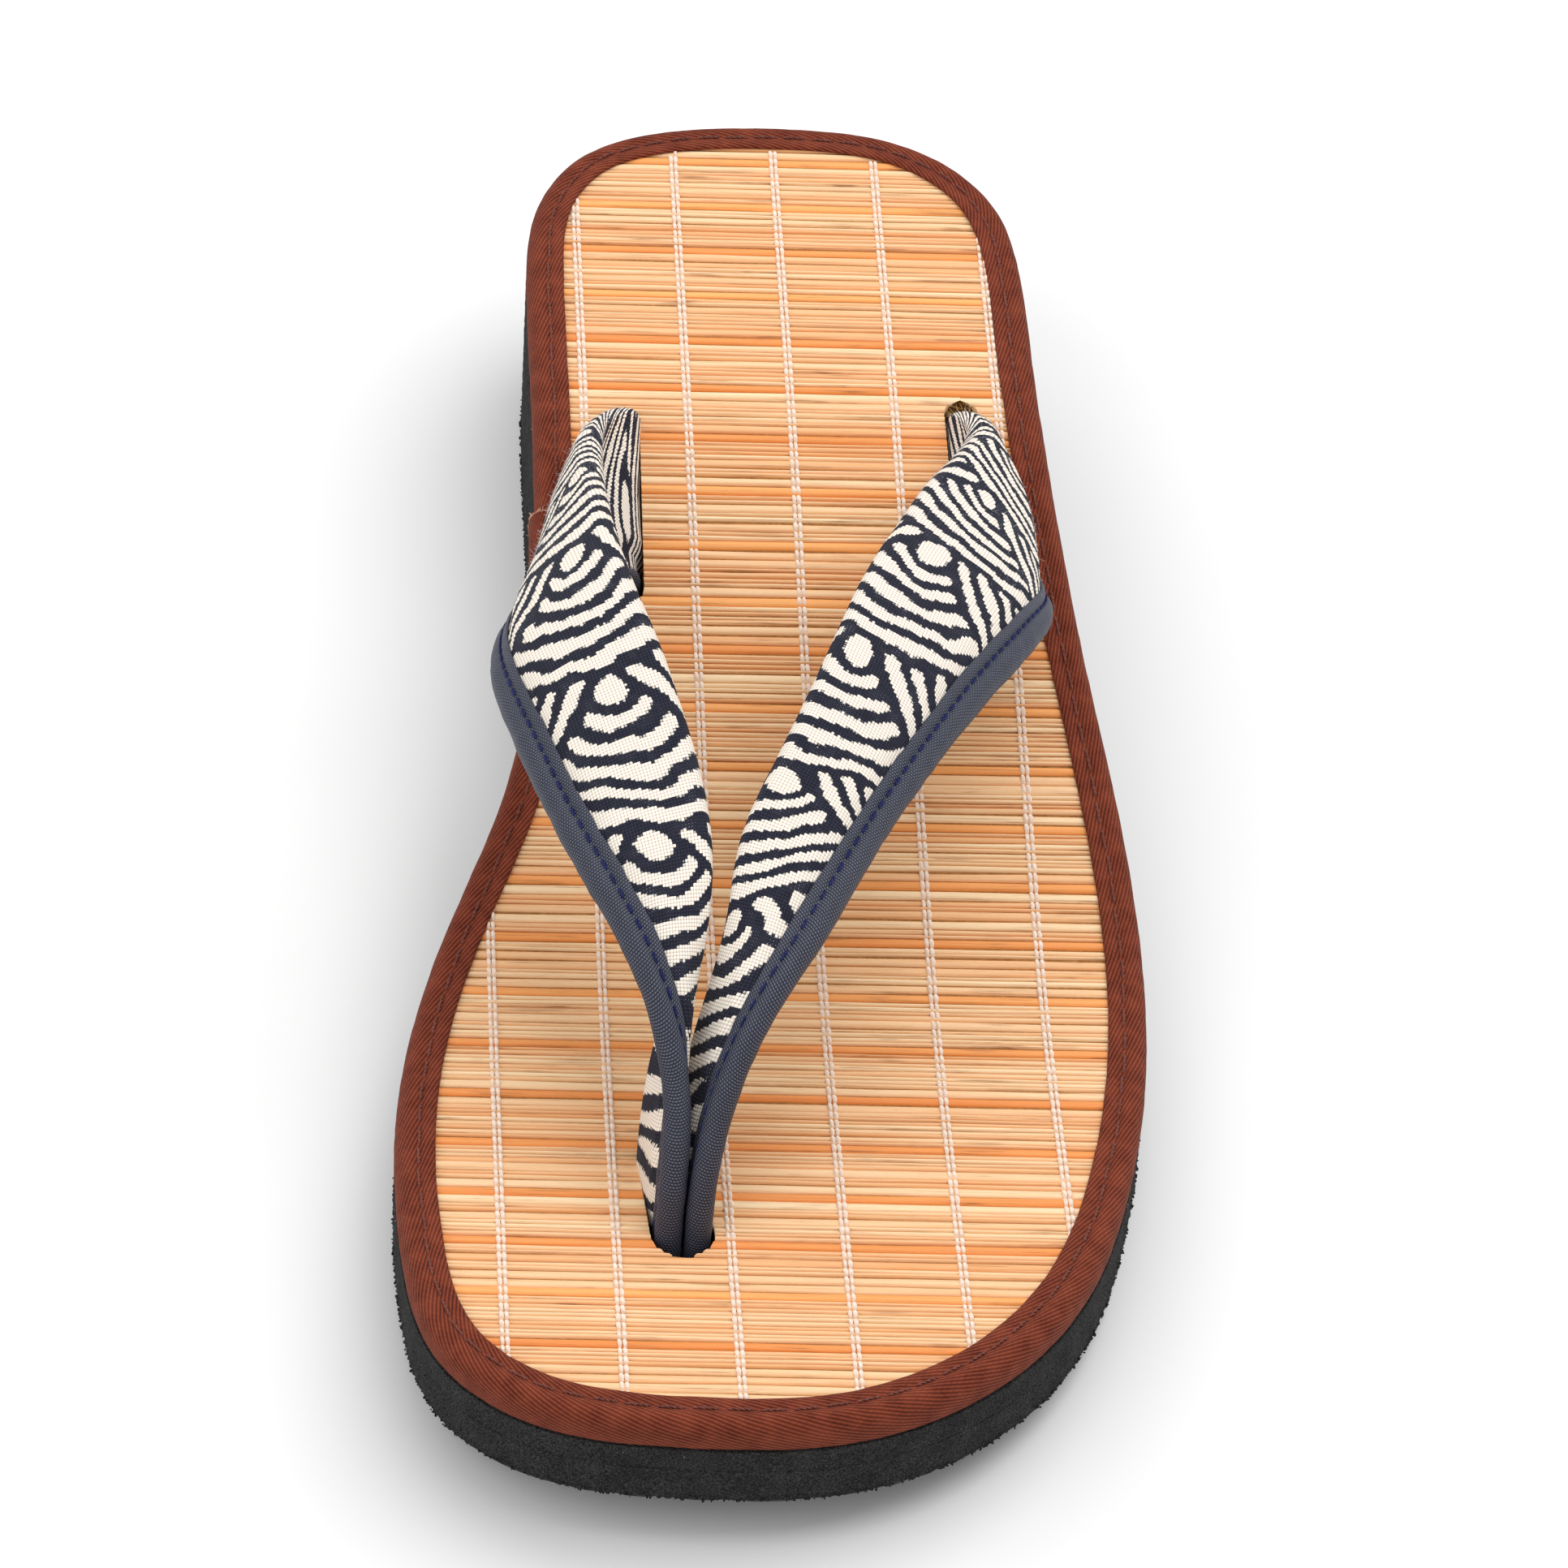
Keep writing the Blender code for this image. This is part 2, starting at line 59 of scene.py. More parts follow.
# Side view: height of the footbed along the sandal
FOOTBED_PROFILE = [
    # y, height above the ground
    (124.0, 35.8), (100.0, 34.3), (80.0, 33.5), (65.0, 32.6), (50.0, 30.8),
    (35.0, 27.9), (15.0, 23.5), (-5.0, 19.0), (-20.0, 16.1), (-34.0, 14.3),
    (-48.0, 14.0), (-66.0, 15.2), (-86.0, 17.2), (-106.0, 19.5), (-125.0, 21.8),
]
PROFILE_COUNT = 400
SPRING_START_Y = -48.0
SPRING_END_Y = -123.0
SPRING_HEIGHT = 8.0
SPRING_POWER = 1.5

# Openings in the mat for the strap, a little closer than the sole's openings below them
OPENINGS = [
    # centre x and y, length, width at the toe end and at the heel end, turn about Z in degrees
    (-23.6, 43.0, 34.2, 4.8, 4.8, 3.4),
    (-12.7, -79.6, 20.9, 8.4, 8.0, 9.0),
    (25.0, 45.9, 37.7, 4.8, 4.8, 4.3),
]
OPENING_ROUND_STEPS = 16

# Strap arms, a row for each ruled line across the band, from the slot to the toe hole
INNER_ARM = [
    # rear x, y, z, front x, y, z, crown
    (-24.6, 59.0, 26.5, -22.7, 28.0, 19.5, 0.2),
    (-24.9, 58.3, 33.8, -23.1, 28.2, 27.8, 1.2),
    (-27.7, 53.2, 36.8, -27.0, 23.8, 30.2, 3.4),
    (-28.8, 44.4, 40.1, -31.0, 17.0, 33.4, 3.0),
    (-28.0, 34.8, 43.7, -34.9, 10.0, 36.6, 1.8),
    (-26.7, 24.5, 47.7, -38.2, 1.8, 39.4, 1.4),
    (-24.9, 12.2, 51.7, -40.0, -6.8, 41.8, 1.8),
    (-22.2, -0.6, 54.4, -39.3, -15.0, 43.5, 1.8),
    (-18.6, -12.2, 54.6, -36.6, -24.0, 44.3, 1.5),
    (-12.8, -30.4, 50.6, -29.4, -42.8, 44.2, 1.0),
    (-10.0, -46.5, 45.3, -20.8, -60.0, 42.0, 0.6),
    (-11.4, -54.8, 40.6, -16.2, -70.0, 38.6, 0.3),
    (-14.8, -62.5, 32.0, -13.1, -79.0, 31.8, 0.1),
    (-16.5, -68.4, 23.0, -13.1, -85.6, 23.0, 0.0),
    (-16.6, -70.8, 9.8, -13.3, -88.0, 9.8, 0.0),
]
OUTER_ARM = [
    # rear x, y, z, front x, y, z, crown
    (24.4, 62.0, 26.5, 26.4, 28.9, 19.5, 0.2),
    (24.6, 61.5, 33.8, 26.4, 29.4, 28.4, 1.0),
    (26.2, 56.8, 36.6, 29.9, 26.0, 30.6, 2.6),
    (24.8, 49.0, 39.6, 33.4, 20.4, 33.2, 2.2),
    (21.4, 40.8, 42.3, 35.2, 14.0, 36.4, 1.4),
    (17.6, 31.6, 44.9, 34.2, 8.0, 39.2, 1.4),
    (13.6, 19.6, 48.2, 31.5, 1.2, 41.0, 1.8),
    (9.4, 6.6, 51.2, 27.3, -6.8, 42.1, 1.8),
    (5.9, -6.0, 52.6, 22.6, -16.0, 42.8, 1.5),
    (-1.6, -28.6, 50.5, 12.4, -38.0, 43.2, 1.0),
    (-7.0, -44.4, 45.0, 3.4, -59.0, 42.2, 0.6),
    (-7.6, -53.6, 40.4, -3.2, -70.8, 38.9, 0.3),
    (-10.0, -62.0, 32.0, -7.5, -79.2, 31.8, 0.1),
    (-12.2, -68.2, 23.0, -9.2, -85.4, 23.0, 0.0),
    (-12.4, -70.7, 9.8, -9.4, -87.8, 9.8, 0.0),
]
ARM_STATIONS = 27
ARM_CROWDING = 1.2
NORMAL_SMOOTHING = 3
ARM_FINE_COUNT = 210
INNER_SIDE = 1
OUTER_SIDE = -1

# Strap and piping cross section
BAND_FRONT = 0.9
BAND_HALF = 1.7
BAND_GRIPPED_HALF = 0.95
BAND_FACE_COUNT = 22
BAND_REAR_COUNT = 15
# Turns a section over to its other face
BELOW = (1, -1)
# The band swells behind the piping, between these distances from the tape's edge
BAND_SWELL = (-0.4, 2.2)
# Its inner face, and its filling in the slot, begin between these shares of its section
INNER_FACE = (0.48, 0.62)
FILLED_FACE = (0.42, 0.58)
PIPING_WIDTH = 5.1
PIPING_RADIUS = 1.8
PIPING_DIP_HEIGHT = 1.24
# How much the rolled tape swells and shrinks, over what length
PIPING_RIPPLES = [(0.03, 1.9), (0.025, 6.0)]
PIPING_STITCH_INSET = 3.25
PIPING_STITCH_START = 2.0
PIPING_STITCH_STOP = 3.0
PIPING_STITCH_PITCH = 2.4
PIPING_STITCH_LENGTH = 1.75
PIPING_THREAD_RADIUS = 0.16
# Lift over the dip in thread radii, how far a stitch's ends dip, and turns of its plies
PIPING_STITCH_LIFT = 0.7
PIPING_STITCH_DIP = 0.3
PIPING_STITCH_TURNS = 1.5
# A ply thickens this fast from its tip, is this thin there, and winds this far out
PLY_SWELL = 4.0
PLY_TIP = 0.35
PLY_APART = 0.8

# Print on the strap: fans of a dot and nested arcs, in staggered columns along the band
FAN_RADIUS = 21.0
FAN_ROW = 24.7
FAN_COLUMN = 21.5
ARC_FIRST = 5.0
ARC_PITCH = 3.7
ARC_HALF_WIDTH = 0.98
DOT_RADIUS = 2.3
# How uneven arcs and dots are, and how far a raised yarn takes the ink past its line
ARC_UNEVEN = 0.6
DOT_UNEVEN = 2.0
YARN_REACH = 0.45
INK_SHARPNESS = 8.0
# Bare cloth beside the next fan, how far the lines wander, and farther than any line reaches
PRINT_GAP = 1.42
PRINT_WANDER = 3.4
FAR_OFF = 100.0
# Where one dot lies on each arm: across and along the band, and the columns' lean in radians
INNER_FAN = (15.3, 79.2, -0.19)
OUTER_FAN = (18.1, 74.5, -0.07)
# Towards the join the print turns against the yarns: how much, the place across that stays,
# and the distances from the toe end where the turn is full and nil
INNER_TURN = (0.48, 9.1, (50.0, 90.0))
OUTER_TURN = (0.95, 15.6, (50.0, 80.0))
CLOTH_PITCH = 0.47
YARN_STEPS = 0.75
TAPE_RIB_PITCH = 0.41
TAPE_FLOAT_PITCH = 0.44
# The print is drawn together more and more towards the slot, most of all on the arm's inside.
# There, and at the toe post, it shows a narrow part of one column of fans
GATHER_REACH = 48.0
GATHER_RATE = 0.018
GATHER_INSIDE = 0.9
NARROWING = 0.4
POST_NARROWING = 0.16
# Shares of the way round the band: where the middle of a column of fans lies inside and at
# the post, and where the post's shear is nil
INSIDE_MIDDLE = 0.75
POST_MIDDLE = 0.5
SHEAR_MIDDLE = 0.6
INSIDE_FADE = (20.0, 55.0)
POST_FADE = (52.0, 34.0)
POST_SHEAR = 0.6
SLOT_FILL = 0.55
SLOT_FILL_FADE = (14.0, 42.0)
# Hairs stand between two lengths along the band, on a share of its section
FUZZ_COUNT = 2400
FUZZ_REACH = (2.0, 46.0)
FUZZ_FACE = 0.6
FUZZ_RADIUS = 0.017
# Shortest length, and how much the longest is over it
FUZZ_LENGTH = (0.15, 0.45)
# How straight hairs stand, how much they lean and bend, and how deep they are rooted
FUZZ_STAND = 0.6
FUZZ_LEAN = 0.6
FUZZ_BEND = 0.5
FUZZ_ROOT = 0.05
# Creases: depth, how strong and how long they are, how wide in points of the section, and
# how much deeper they get over what length at the slot and at the toe post
CREASE_DEPTH = 0.07
CREASE_BROAD = (1.0, 6.0)
CREASE_FINE = (0.6, 2.6)
CREASE_ACROSS = (4.0, 2.5)
CREASE_SLOT = (1.6, 14)
CREASE_POST = (1.2, 22)
# The piping's inner leg is cut away on a slant where the arm leaves the slot
SLANT_START = 6.0
SLANT_END = 20.0
SLANT_SHARE = 0.15

# Stick mat
STICK_PITCH = 1.628
STICK_FIRST_Y = 114.5
STICK_SLOPE = 0.0365
STICK_RANGE = (-2, 146)
MAT_FINE_COUNT = 3000
MAT_START_Y = 123.0
MAT_END_Y = -124.0
STICK_INSET = 3.6
STICK_STEP = 5.0
STICK_SECTION = np.array([
    # share of the half width, height over the footbed
    (-1.0, -0.25), (-1.0, -0.02), (-0.9, 0.17), (-0.72, 0.32), (-0.45, 0.43), (-0.15, 0.47),
    (0.15, 0.47), (0.45, 0.42), (0.72, 0.3), (0.9, 0.14), (1.0, -0.05), (1.0, -0.25),
])
STICK_CROWN = 0.46
# A stick's share of its pitch, its lift, and how uneven its middle, width and height are,
# over what length
STICK_FILL = (0.81, 0.92)
STICK_LIFT = (-0.08, 0.06)
STICK_SWAY = (0.08, 22.0)
STICK_SWELL = (0.1, 11.0)
STICK_WAVE = (0.05, 7.0)
SPLIT_SHARE = 0.58
SPLIT_REACH = 0.35
SPLIT_GAP = 0.05
DYED_STICKS = set(range(0, 55, 6)) | set(range(59, 140, 6))
THREAD_LINES = [-37.0, -22.2, -7.4, 7.4, 22.2, 37.0]
THREAD_GRID_SHIFT = 0.95
THREAD_GRID_TURN = math.radians(3.81)
THREAD_ORIGIN_X = -4.8
THREAD_HEADING = (0.0665, -0.998)
THREAD_INSET = 4.4
THREAD_APART = 0.34
THREAD_RADIUS = 0.31
THREAD_LIFT = 0.12
THREAD_FLATNESS = 0.8
THREAD_SLANT = 0.1
THREAD_REACH = 0.74
THREAD_DIP = 0.6
THREAD_TAPER = 0.4
THREAD_UNEVEN = (0.88, 1.12)
SLOT_FIBRES = 46
FIBRE_DEPTH = (0.1, 1.6)
FIBRE_LENGTH = (0.7, 1.8)
FIBRE_RADIUS = (0.04, 0.1)
# How far back fibres start, how they head to the slot's middle and its toe end, and how much
# they lean and bend
FIBRE_BACK = 0.4
FIBRE_INWARDS = 0.35
FIBRE_TOEWARDS = -1.2
FIBRE_LEAN = 0.45
FIBRE_BEND = 0.3

# Edge tape: its seam lies on the inner side, beside the slot
TAPE_COUNT = 720
TAPE_SEAM = (-36.2, 39.9)
TAPE_LAP = 9.0
TAPE_LAP_RISE = 0.27
TAPE_LAP_FADE = 7.0
TAPE_LAP_LEAN = 0.35
TAPE_LEAN_FADE = 6.0
TAPE_DIP_HEIGHT = 0.86
TAPE_STITCH_INSET = 3.15
TAPE_STITCH_PITCH = 4.4
TAPE_STITCH_LENGTH = 3.9
TAPE_THREAD_RADIUS = 0.13
TAPE_STITCH_LIFT = 1.2
TAPE_STITCH_DIP = 0.4
TAPE_STITCH_TURNS = 2.5
# How far stitches sway to the sides, and the sway's turn from one to the next
TAPE_STITCH_SWAY = (0.1, 1.7)
# Inset and height of the place that a lifted tape grows away from
TAPE_CORE = (2.7, -1.6)
# How much the tape stands off unevenly, over what length, and a seed
TAPE_RIPPLES = [(0.012, 5.0, 71), (0.01, 1.7, 72)]
TWILL_PITCH = 0.52
TWILL_ANGLE = math.radians(19.0)
TWILL_FLOAT = 0.9
FRAY_STEP = 0.16
FRAY_RADIUS = 0.085
FRAY_TAPER = 0.5
FRAY_ROOT = 0.25
FRAY_BEND = 0.16
FRAY_RISE = 0.03
# Shortest length, and how much the longest is over it
FRAY_LENGTH = (0.3, 0.45)
# Points of the tape's section that carry the frayed yarns
TAPE_FRAYED = slice(1, 20)

# Sole
FOOTBED_THICK = 4.0
OUTSOLE_THICK = 6.0
OUTSOLE_INSET = 0.3
FOOTBED_GAP = 0.3
FOAM_COUNT = 600
FOAM_LEVELS = 110
FOAM_INSET = 0.0
FOAM_DEPTH = 1.2
# Ends of the foam wall, over the outsole and over the midsole
FOAM_ENDS = (0.06, 0.26)
OUTSOLE_COUNT = 1500
OUTSOLE_LEVELS = 14
OUTSOLE_SKIN_INSET = 0.06
OUTSOLE_SKIN_DEPTH = 0.26
# Ends of the skin, over the ground and over the outsole
OUTSOLE_SKIN_ENDS = (0.45, -0.04)
OUTSOLE_RAGGED = 0.35
RIB_PITCH = 1.5
RIB_COUNT = 40
RIB_DEPTH = 0.27
RIB_WEIGHT = (0.35, 1.0)
RIB_SWAY = (0.25, 30.0)
# The ribs fade towards the toe, and where the wall is low
RIB_TOE_SHARE = 0.14
RIB_FADE_Y = (-45.0, 85.0)
RIB_WALL_HEIGHT = (3.0, 9.0)
WALL_ROUGHNESS = 0.045
# Levels closer together than this are less rough
WALL_FULL_SPACING = 0.25
WALL_ROUNDING = 0.08
RIDGE_PITCH = 4.6
ZIGZAG_PERIOD = 25.0
ZIGZAG_SHIFT = 6.0
ZIGZAG_ROUNDING = 0.94
TREAD_START_Y = -136.6
TREAD_STEP = 1.6
TREAD_PLAN_COUNT = 400
TREAD_MARGIN = 4.0
TREAD_ROOF = 24.0
SHEET_BOTTOM = -2.0
RIDGE_SECTION = [
    # place along one ridge, height over its crown
    (0.0, 0.1), (0.5, 0.0), (1.3, 0.0), (2.2, 0.14), (3.0, 0.36), (3.7, 0.66),
    (4.15, 0.95), (4.35, 0.6),
]
# How uneven a lump is, and how much crumbs and specks are stretched
LUMP_UNEVEN = (0.6, 1.2)
CRUMB_STRETCH = 0.45
SPECK_STRETCH = 0.5
CRUMB_COUNT = 2600
# Most crumbs lie low, at these heights over the ground. The others are smaller, and lie at
# these heights over the outsole
CRUMB_LOW_SHARE = 0.75
CRUMB_LOW = (0.3, 1.0)
CRUMB_HIGH = (-4.0, 3.0)
CRUMB_HIGH_SIZE = 0.6
CRUMB_SIZE = (0.07, 0.25)
CRUMB_INSET = (-0.2, 0.15)
# A crumb's middle is at least this many sizes over the ground
CRUMB_CLEARANCE = 1.75
SPECK_COUNT = 90
SPECK_SIZE = (0.05, 0.11)
SPECK_HEIGHT = (-1.2, 0.1)
SPECK_INSET = (0.0, 0.12)

# Camera, as solved from the photo, aimed at the sandal
CAMERA_PLACE = Vector((-24.4, -698.2, 676.6))
CAMERA_RIGHT = Vector((0.9984, 0.0540, 0.0145))
CAMERA_TARGET = Vector((0.0, -4.0, 21.0))
CAMERA_LENS = 160.0
CAMERA_SENSOR = 36.0
# Nearest and farthest that it sees, in metres
CAMERA_CLIP = (0.05, 20.0)

# Studio, in metres and watts
FLOOR_HALF = 3.0
FLOOR_TONE = 0.86
SKY_STRENGTH = 0.57
LIGHTS = [
    # name, place, size, power
    ("key_light", (0.55, 0.3, 1.2), 1.4, 13.5),
    ("fill_light", (-0.9, -0.6, 0.9), 1.4, 7.0),
    ("back_light", (-0.5, 1.0, 0.8), 1.2, 3.0),
]


# Curves

def spline_slopes(marks, values, closed=False):
    """Slopes of a cubic spline through the values, natural at open ends."""
    count = len(marks) - (1 if closed else 0)
    matrix = np.zeros((count, count))
    right = np.zeros((count, values.shape[1]))
    steps = np.diff(marks)
    rises = np.diff(values, axis=0) / steps[:, None]
    for i in range(count):
        if closed or 0 < i < count - 1:
            before, after = steps[i - 1], steps[i % len(steps)]
            matrix[i, (i - 1) % count] += after
            matrix[i, i] += 2 * (before + after)
            matrix[i, (i + 1) % count] += before
            right[i] = 3 * (after * rises[i - 1] + before * rises[i % len(rises)])
        else:
            inner, step = (1, 0) if i == 0 else (count - 2, count - 2)
            matrix[i, i] = 2
            matrix[i, inner] = 1
            right[i] = 3 * rises[step]
    slopes = np.linalg.solve(matrix, right)
    return np.vstack([slopes, slopes[:1]]) if closed else slopes


def spline_at(marks, values, slopes, wanted):
    """The spline's values at the wanted marks."""
    places = np.clip(np.searchsorted(marks, wanted, side="right") - 1, 0, len(marks) - 2)
    step = (marks[places + 1] - marks[places])[:, None]
    t = ((wanted - marks[places])[:, None]) / step
    return (
        (2 * t**3 - 3 * t**2 + 1) * values[places]
        + (t**3 - 2 * t**2 + t) * step * slopes[places]
        + (3 * t**2 - 2 * t**3) * values[places + 1]
        + (t**3 - t**2) * step * slopes[places + 1]
    )


def lengths_along(points):
    return np.concatenate([[0.0], np.cumsum(np.linalg.norm(np.diff(points, axis=0), axis=1))])


def unit(vectors):
    return vectors / np.linalg.norm(vectors, axis=-1, keepdims=True)


def points_at(wanted, marks, points):
    """Points on a line of points, at wanted lengths along it."""
    return np.column_stack([np.interp(wanted, marks, column) for column in points.T])


def smooth_rows(rows, count, closed=False, crowding=1.0):
    """Rows of numbers read off a cubic spline, closer at the start when crowding is over 1."""
    values = np.array(rows, dtype=float)
    if closed:
        values = np.vstack([values, values[:1]])
    marks = lengths_along(values)
    slopes = spline_slopes(marks, values, closed)
    wanted = marks[-1] * np.linspace(0.0, 1.0, count + 1 if closed else count) ** crowding
    return spline_at(marks, values, slopes, wanted[:-1] if closed else wanted)


PROFILE = smooth_rows(FOOTBED_PROFILE, PROFILE_COUNT)[::-1]
EDGE = smooth_rows(OUTLINE, OUTLINE_COUNT, closed=True)
EDGE_LOOP = np.vstack([EDGE, EDGE[:1]])
EDGE_MARKS = lengths_along(EDGE_LOOP)
EDGE_LENGTH = EDGE_MARKS[-1]


def footbed_height(y):
    return np.interp(y, PROFILE[:, 0], PROFILE[:, 1])


def footbed_slope(y):
    reach = 1.0
    return (footbed_height(y + reach) - footbed_height(y - reach)) / (2 * reach)


def ground_height(y):
    """Height of the underside: flat, then the toe spring."""
    reach = (SPRING_START_Y - np.asarray(y, float)) / (SPRING_START_Y - SPRING_END_Y)
    return SPRING_HEIGHT * np.maximum(reach, 0.0) ** SPRING_POWER


def outsole_top(y):
    return ground_height(y) + OUTSOLE_THICK


def midsole_top(y):
    return footbed_height(y) - FOOTBED_THICK - FOOTBED_GAP


def outline_at(marks):
    return points_at(marks % EDGE_LENGTH, EDGE_MARKS, EDGE_LOOP)


def inward_at(marks):
    """Direction into the sandal at lengths along its outline."""
    marks = marks % EDGE_LENGTH
    along = unit(outline_at(marks + DIRECTION_REACH) - outline_at(marks - DIRECTION_REACH))
    return np.column_stack([-along[:, 1], along[:, 0]])


def edge_at(marks, inset=0.0):
    """Points of the outline at lengths along it, moved inwards."""
    return outline_at(marks) + inward_at(marks) * np.asarray(inset)[..., None]


def nearest_mark(place):
    return EDGE_MARKS[np.argmin(np.linalg.norm(EDGE - np.array(place), axis=1))]


def smooth_step(low, high, value):
    t = np.clip((value - low) / (high - low), 0.0, 1.0)
    return t * t * (3 - 2 * t)


def soft_noise(values, size, wavelength, seed):
    """Smooth random numbers from -size to size along a line."""
    picks = np.random.default_rng(seed)
    values = np.asarray(values, float) / wavelength
    low = math.floor(values.min()) - 2
    knots = picks.uniform(-1, 1, int(math.ceil(values.max())) - low + 3)
    cell = np.floor(values).astype(int)
    t = smooth_step(0.0, 1.0, values - cell)
    return size * (knots[cell - low] * (1 - t) + knots[cell - low + 1] * t)


# Meshes

def finish_mesh(name, points, faces, marks):
    """A mesh in metres with outward normals. marks maps an attribute's name to its values."""
    mesh = bpy.data.meshes.new(name)
    mesh.from_pydata((np.asarray(points) * MM).tolist(), [], faces)
    for label, values in marks.items():
        layer = mesh.attributes.new(label, "FLOAT_VECTOR", "POINT")
        layer.data.foreach_set("vector", np.asarray(values, np.float32).ravel())
    shape = bmesh.new()
    shape.from_mesh(mesh)
    bmesh.ops.recalc_face_normals(shape, faces=shape.faces)
    shape.to_mesh(mesh)
    shape.free()
    return mesh


def strip_faces(rows, columns, start=0, closed=False):
    """Faces between each ring of points and the next; a closed strip ends at its own start."""
    faces = []
    for j in range(rows if closed else rows - 1):
        low, high = start + j * columns, start + (j + 1) % rows * columns
        for i in range(columns):
            k = (i + 1) % columns
            faces.append((low + i, low + k, high + k, high + i))
    return faces


def flatten(parts):
    return np.concatenate([part.reshape(-1, 3) for part in parts])


def make_piece(name, mesh, material, angle=50.0):
    """An object of the sandal, with its material, riding on the one body there is."""
    piece = bpy.data.objects.new(name, mesh)
    bpy.context.scene.collection.objects.link(piece)
    mesh.materials.append(material)
    mesh.shade_smooth()
    mesh.set_sharp_from_angle(angle=math.radians(angle))
    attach(piece, "root")
    return piece


def make_tubes(name, tubes, material, slot, angle=50.0, **marks):
    """A piece of many tubes of rings with flat ends. Its place mark is its points by default."""
    faces, start = [], 0
    for tube in tubes:
        rows, columns = tube.shape[:2]
        faces += strip_faces(rows, columns, start)
        for end in (start, start + (rows - 1) * columns):
            faces.append(tuple(range(end, end + columns)))
        start += rows * columns
    marks = marks or {"place": tubes}
    values = {label: flatten(parts) for label, parts in marks.items()}
    mesh = finish_mesh(name, flatten(tubes), faces, values)
    return make_piece(name, mesh, material, angle)


def round_tube(path, across, up, radius, sides):
    """Rings of points round a path, which may flatten or taper."""
    radius = np.broadcast_to(np.asarray(radius, float), (len(path),))
    rings = []
    for k in range(sides):
        angle = 2 * math.pi * k / sides
        rings.append(path + (across * math.cos(angle) + up * math.sin(angle)) * radius[:, None])
    return np.stack(rings, axis=1)


def twisted_stitch(path, across, up, radius, turns):
    """A stitch of two plies that wind round each other along a path."""
    t = np.linspace(0.0, 1.0, len(path))
    taper = np.clip(np.sin(math.pi * t) * PLY_SWELL, PLY_TIP, 1.0)
    plies = []
    for ply in range(2):
        angle = 2 * math.pi * turns * t + math.pi * ply
        shift = across * np.cos(angle)[:, None] + up * np.sin(angle)[:, None]
        middle = path + shift * radius * PLY_APART
        plies.append(round_tube(middle, across, up, radius * taper, 5))
    return plies


# Shader nodes

class Wire:
    """A node's output that can be used in sums."""

    def __init__(self, socket):
        self.socket = socket

    def __add__(self, other):
        return maths("ADD", self, other)

    def __radd__(self, other):
        return maths("ADD", other, self)

    def __sub__(self, other):
        return maths("SUBTRACT", self, other)

    def __rsub__(self, other):
        return maths("SUBTRACT", other, self)

    def __mul__(self, other):
        return maths("MULTIPLY", self, other)

    def __truediv__(self, other):
        return maths("DIVIDE", self, other)


def feed(port, value):
    if isinstance(value, Wire):
        port.id_data.links.new(value.socket, port)
    elif isinstance(value, tuple) and port.type == "RGBA":
        port.default_value = (*value, 1.0)
    else:
        port.default_value = value


def new_node(kind, inputs, tree=None, **settings):
    """A node with its settings and inputs, in the tree of the wires it takes."""
    if tree is None:
        tree = next(value.socket.id_data for value in inputs.values() if isinstance(value, Wire))
    node = tree.nodes.new(kind)
    for label, value in settings.items():
        setattr(node, label, value)
    for port, value in inputs.items():
        feed(node.inputs[port], value)
    return node


def add_node(kind, inputs, output=0, tree=None, **settings):
    """A node, as the wire of one output."""
    return Wire(new_node(kind, inputs, tree, **settings).outputs[output])


def maths(operation, *values):
    return add_node("ShaderNodeMath", dict(enumerate(values)), operation=operation)


def vector_maths(operation, *values):
    return add_node("ShaderNodeVectorMath", dict(enumerate(values)), operation=operation)


def clamp(value):
    return maths("MINIMUM", maths("MAXIMUM", value, 0.0), 1.0)


def wave(value):
    """A sine wave from 0 to 1, with its turn in radians."""
    return maths("SINE", value) * 0.5 + 0.5


def length_of(x, y):
    return maths("SQRT", x * x + y * y)


def split_vector(vector):
    return [Wire(part) for part in new_node("ShaderNodeSeparateXYZ", {0: vector}).outputs]


def join_vector(x, y, z=0.0):
    return add_node("ShaderNodeCombineXYZ", {0: x, 1: y, 2: z})


def blend_colours(share, low, high):
    """A colour between low and high, which are the mix node's ports 6 and 7."""
    return add_node("ShaderNodeMix", {0: share, 6: low, 7: high}, 2, data_type="RGBA")


def noise(vector, scale, detail=2.0, roughness=0.5):
    """Noise from 0 to 1. Its scale is per millimetre on a mark, per metre on an object."""
    inputs = {"Vector": vector, "Scale": scale, "Detail": detail, "Roughness": roughness}
    return add_node("ShaderNodeTexNoise", inputs)


def mark(material, label):
    """The vector attribute that a mesh carries."""
    tree = material.node_tree
    return add_node("ShaderNodeAttribute", {}, "Vector", tree, attribute_name=label)


def make_group(name, inputs, fill):
    """A node group with named inputs, given with their usual values, and named outputs."""
    group = bpy.data.node_groups.new(name, "ShaderNodeTree")
    for label, value in inputs.items():
        kind = "NodeSocketVector" if isinstance(value, tuple) else "NodeSocketFloat"
        socket = group.interface.new_socket(label, in_out="INPUT", socket_type=kind)
        socket.default_value = value
    entry = group.nodes.new("NodeGroupInput")
    results = fill({label: Wire(entry.outputs[label]) for label in inputs})
    for label in results:
        group.interface.new_socket(label, in_out="OUTPUT", socket_type="NodeSocketFloat")
    leave = group.nodes.new("NodeGroupOutput")
    for label, value in results.items():
        feed(leave.inputs[label], value)
    return group


def use_group(group, inputs):
    node = new_node("ShaderNodeGroup", inputs, node_tree=group)
    return {output.name: Wire(output) for output in node.outputs}


def linear(red, green, blue):
    """A colour given as it looks on a screen, from 0 to 255."""
    values = []
    for value in (red, green, blue):
        v = value / 255
        values.append(v / 12.92 if v <= 0.04045 else ((v + 0.055) / 1.055) ** 2.4)
    return tuple(values)


# Effects that several materials share

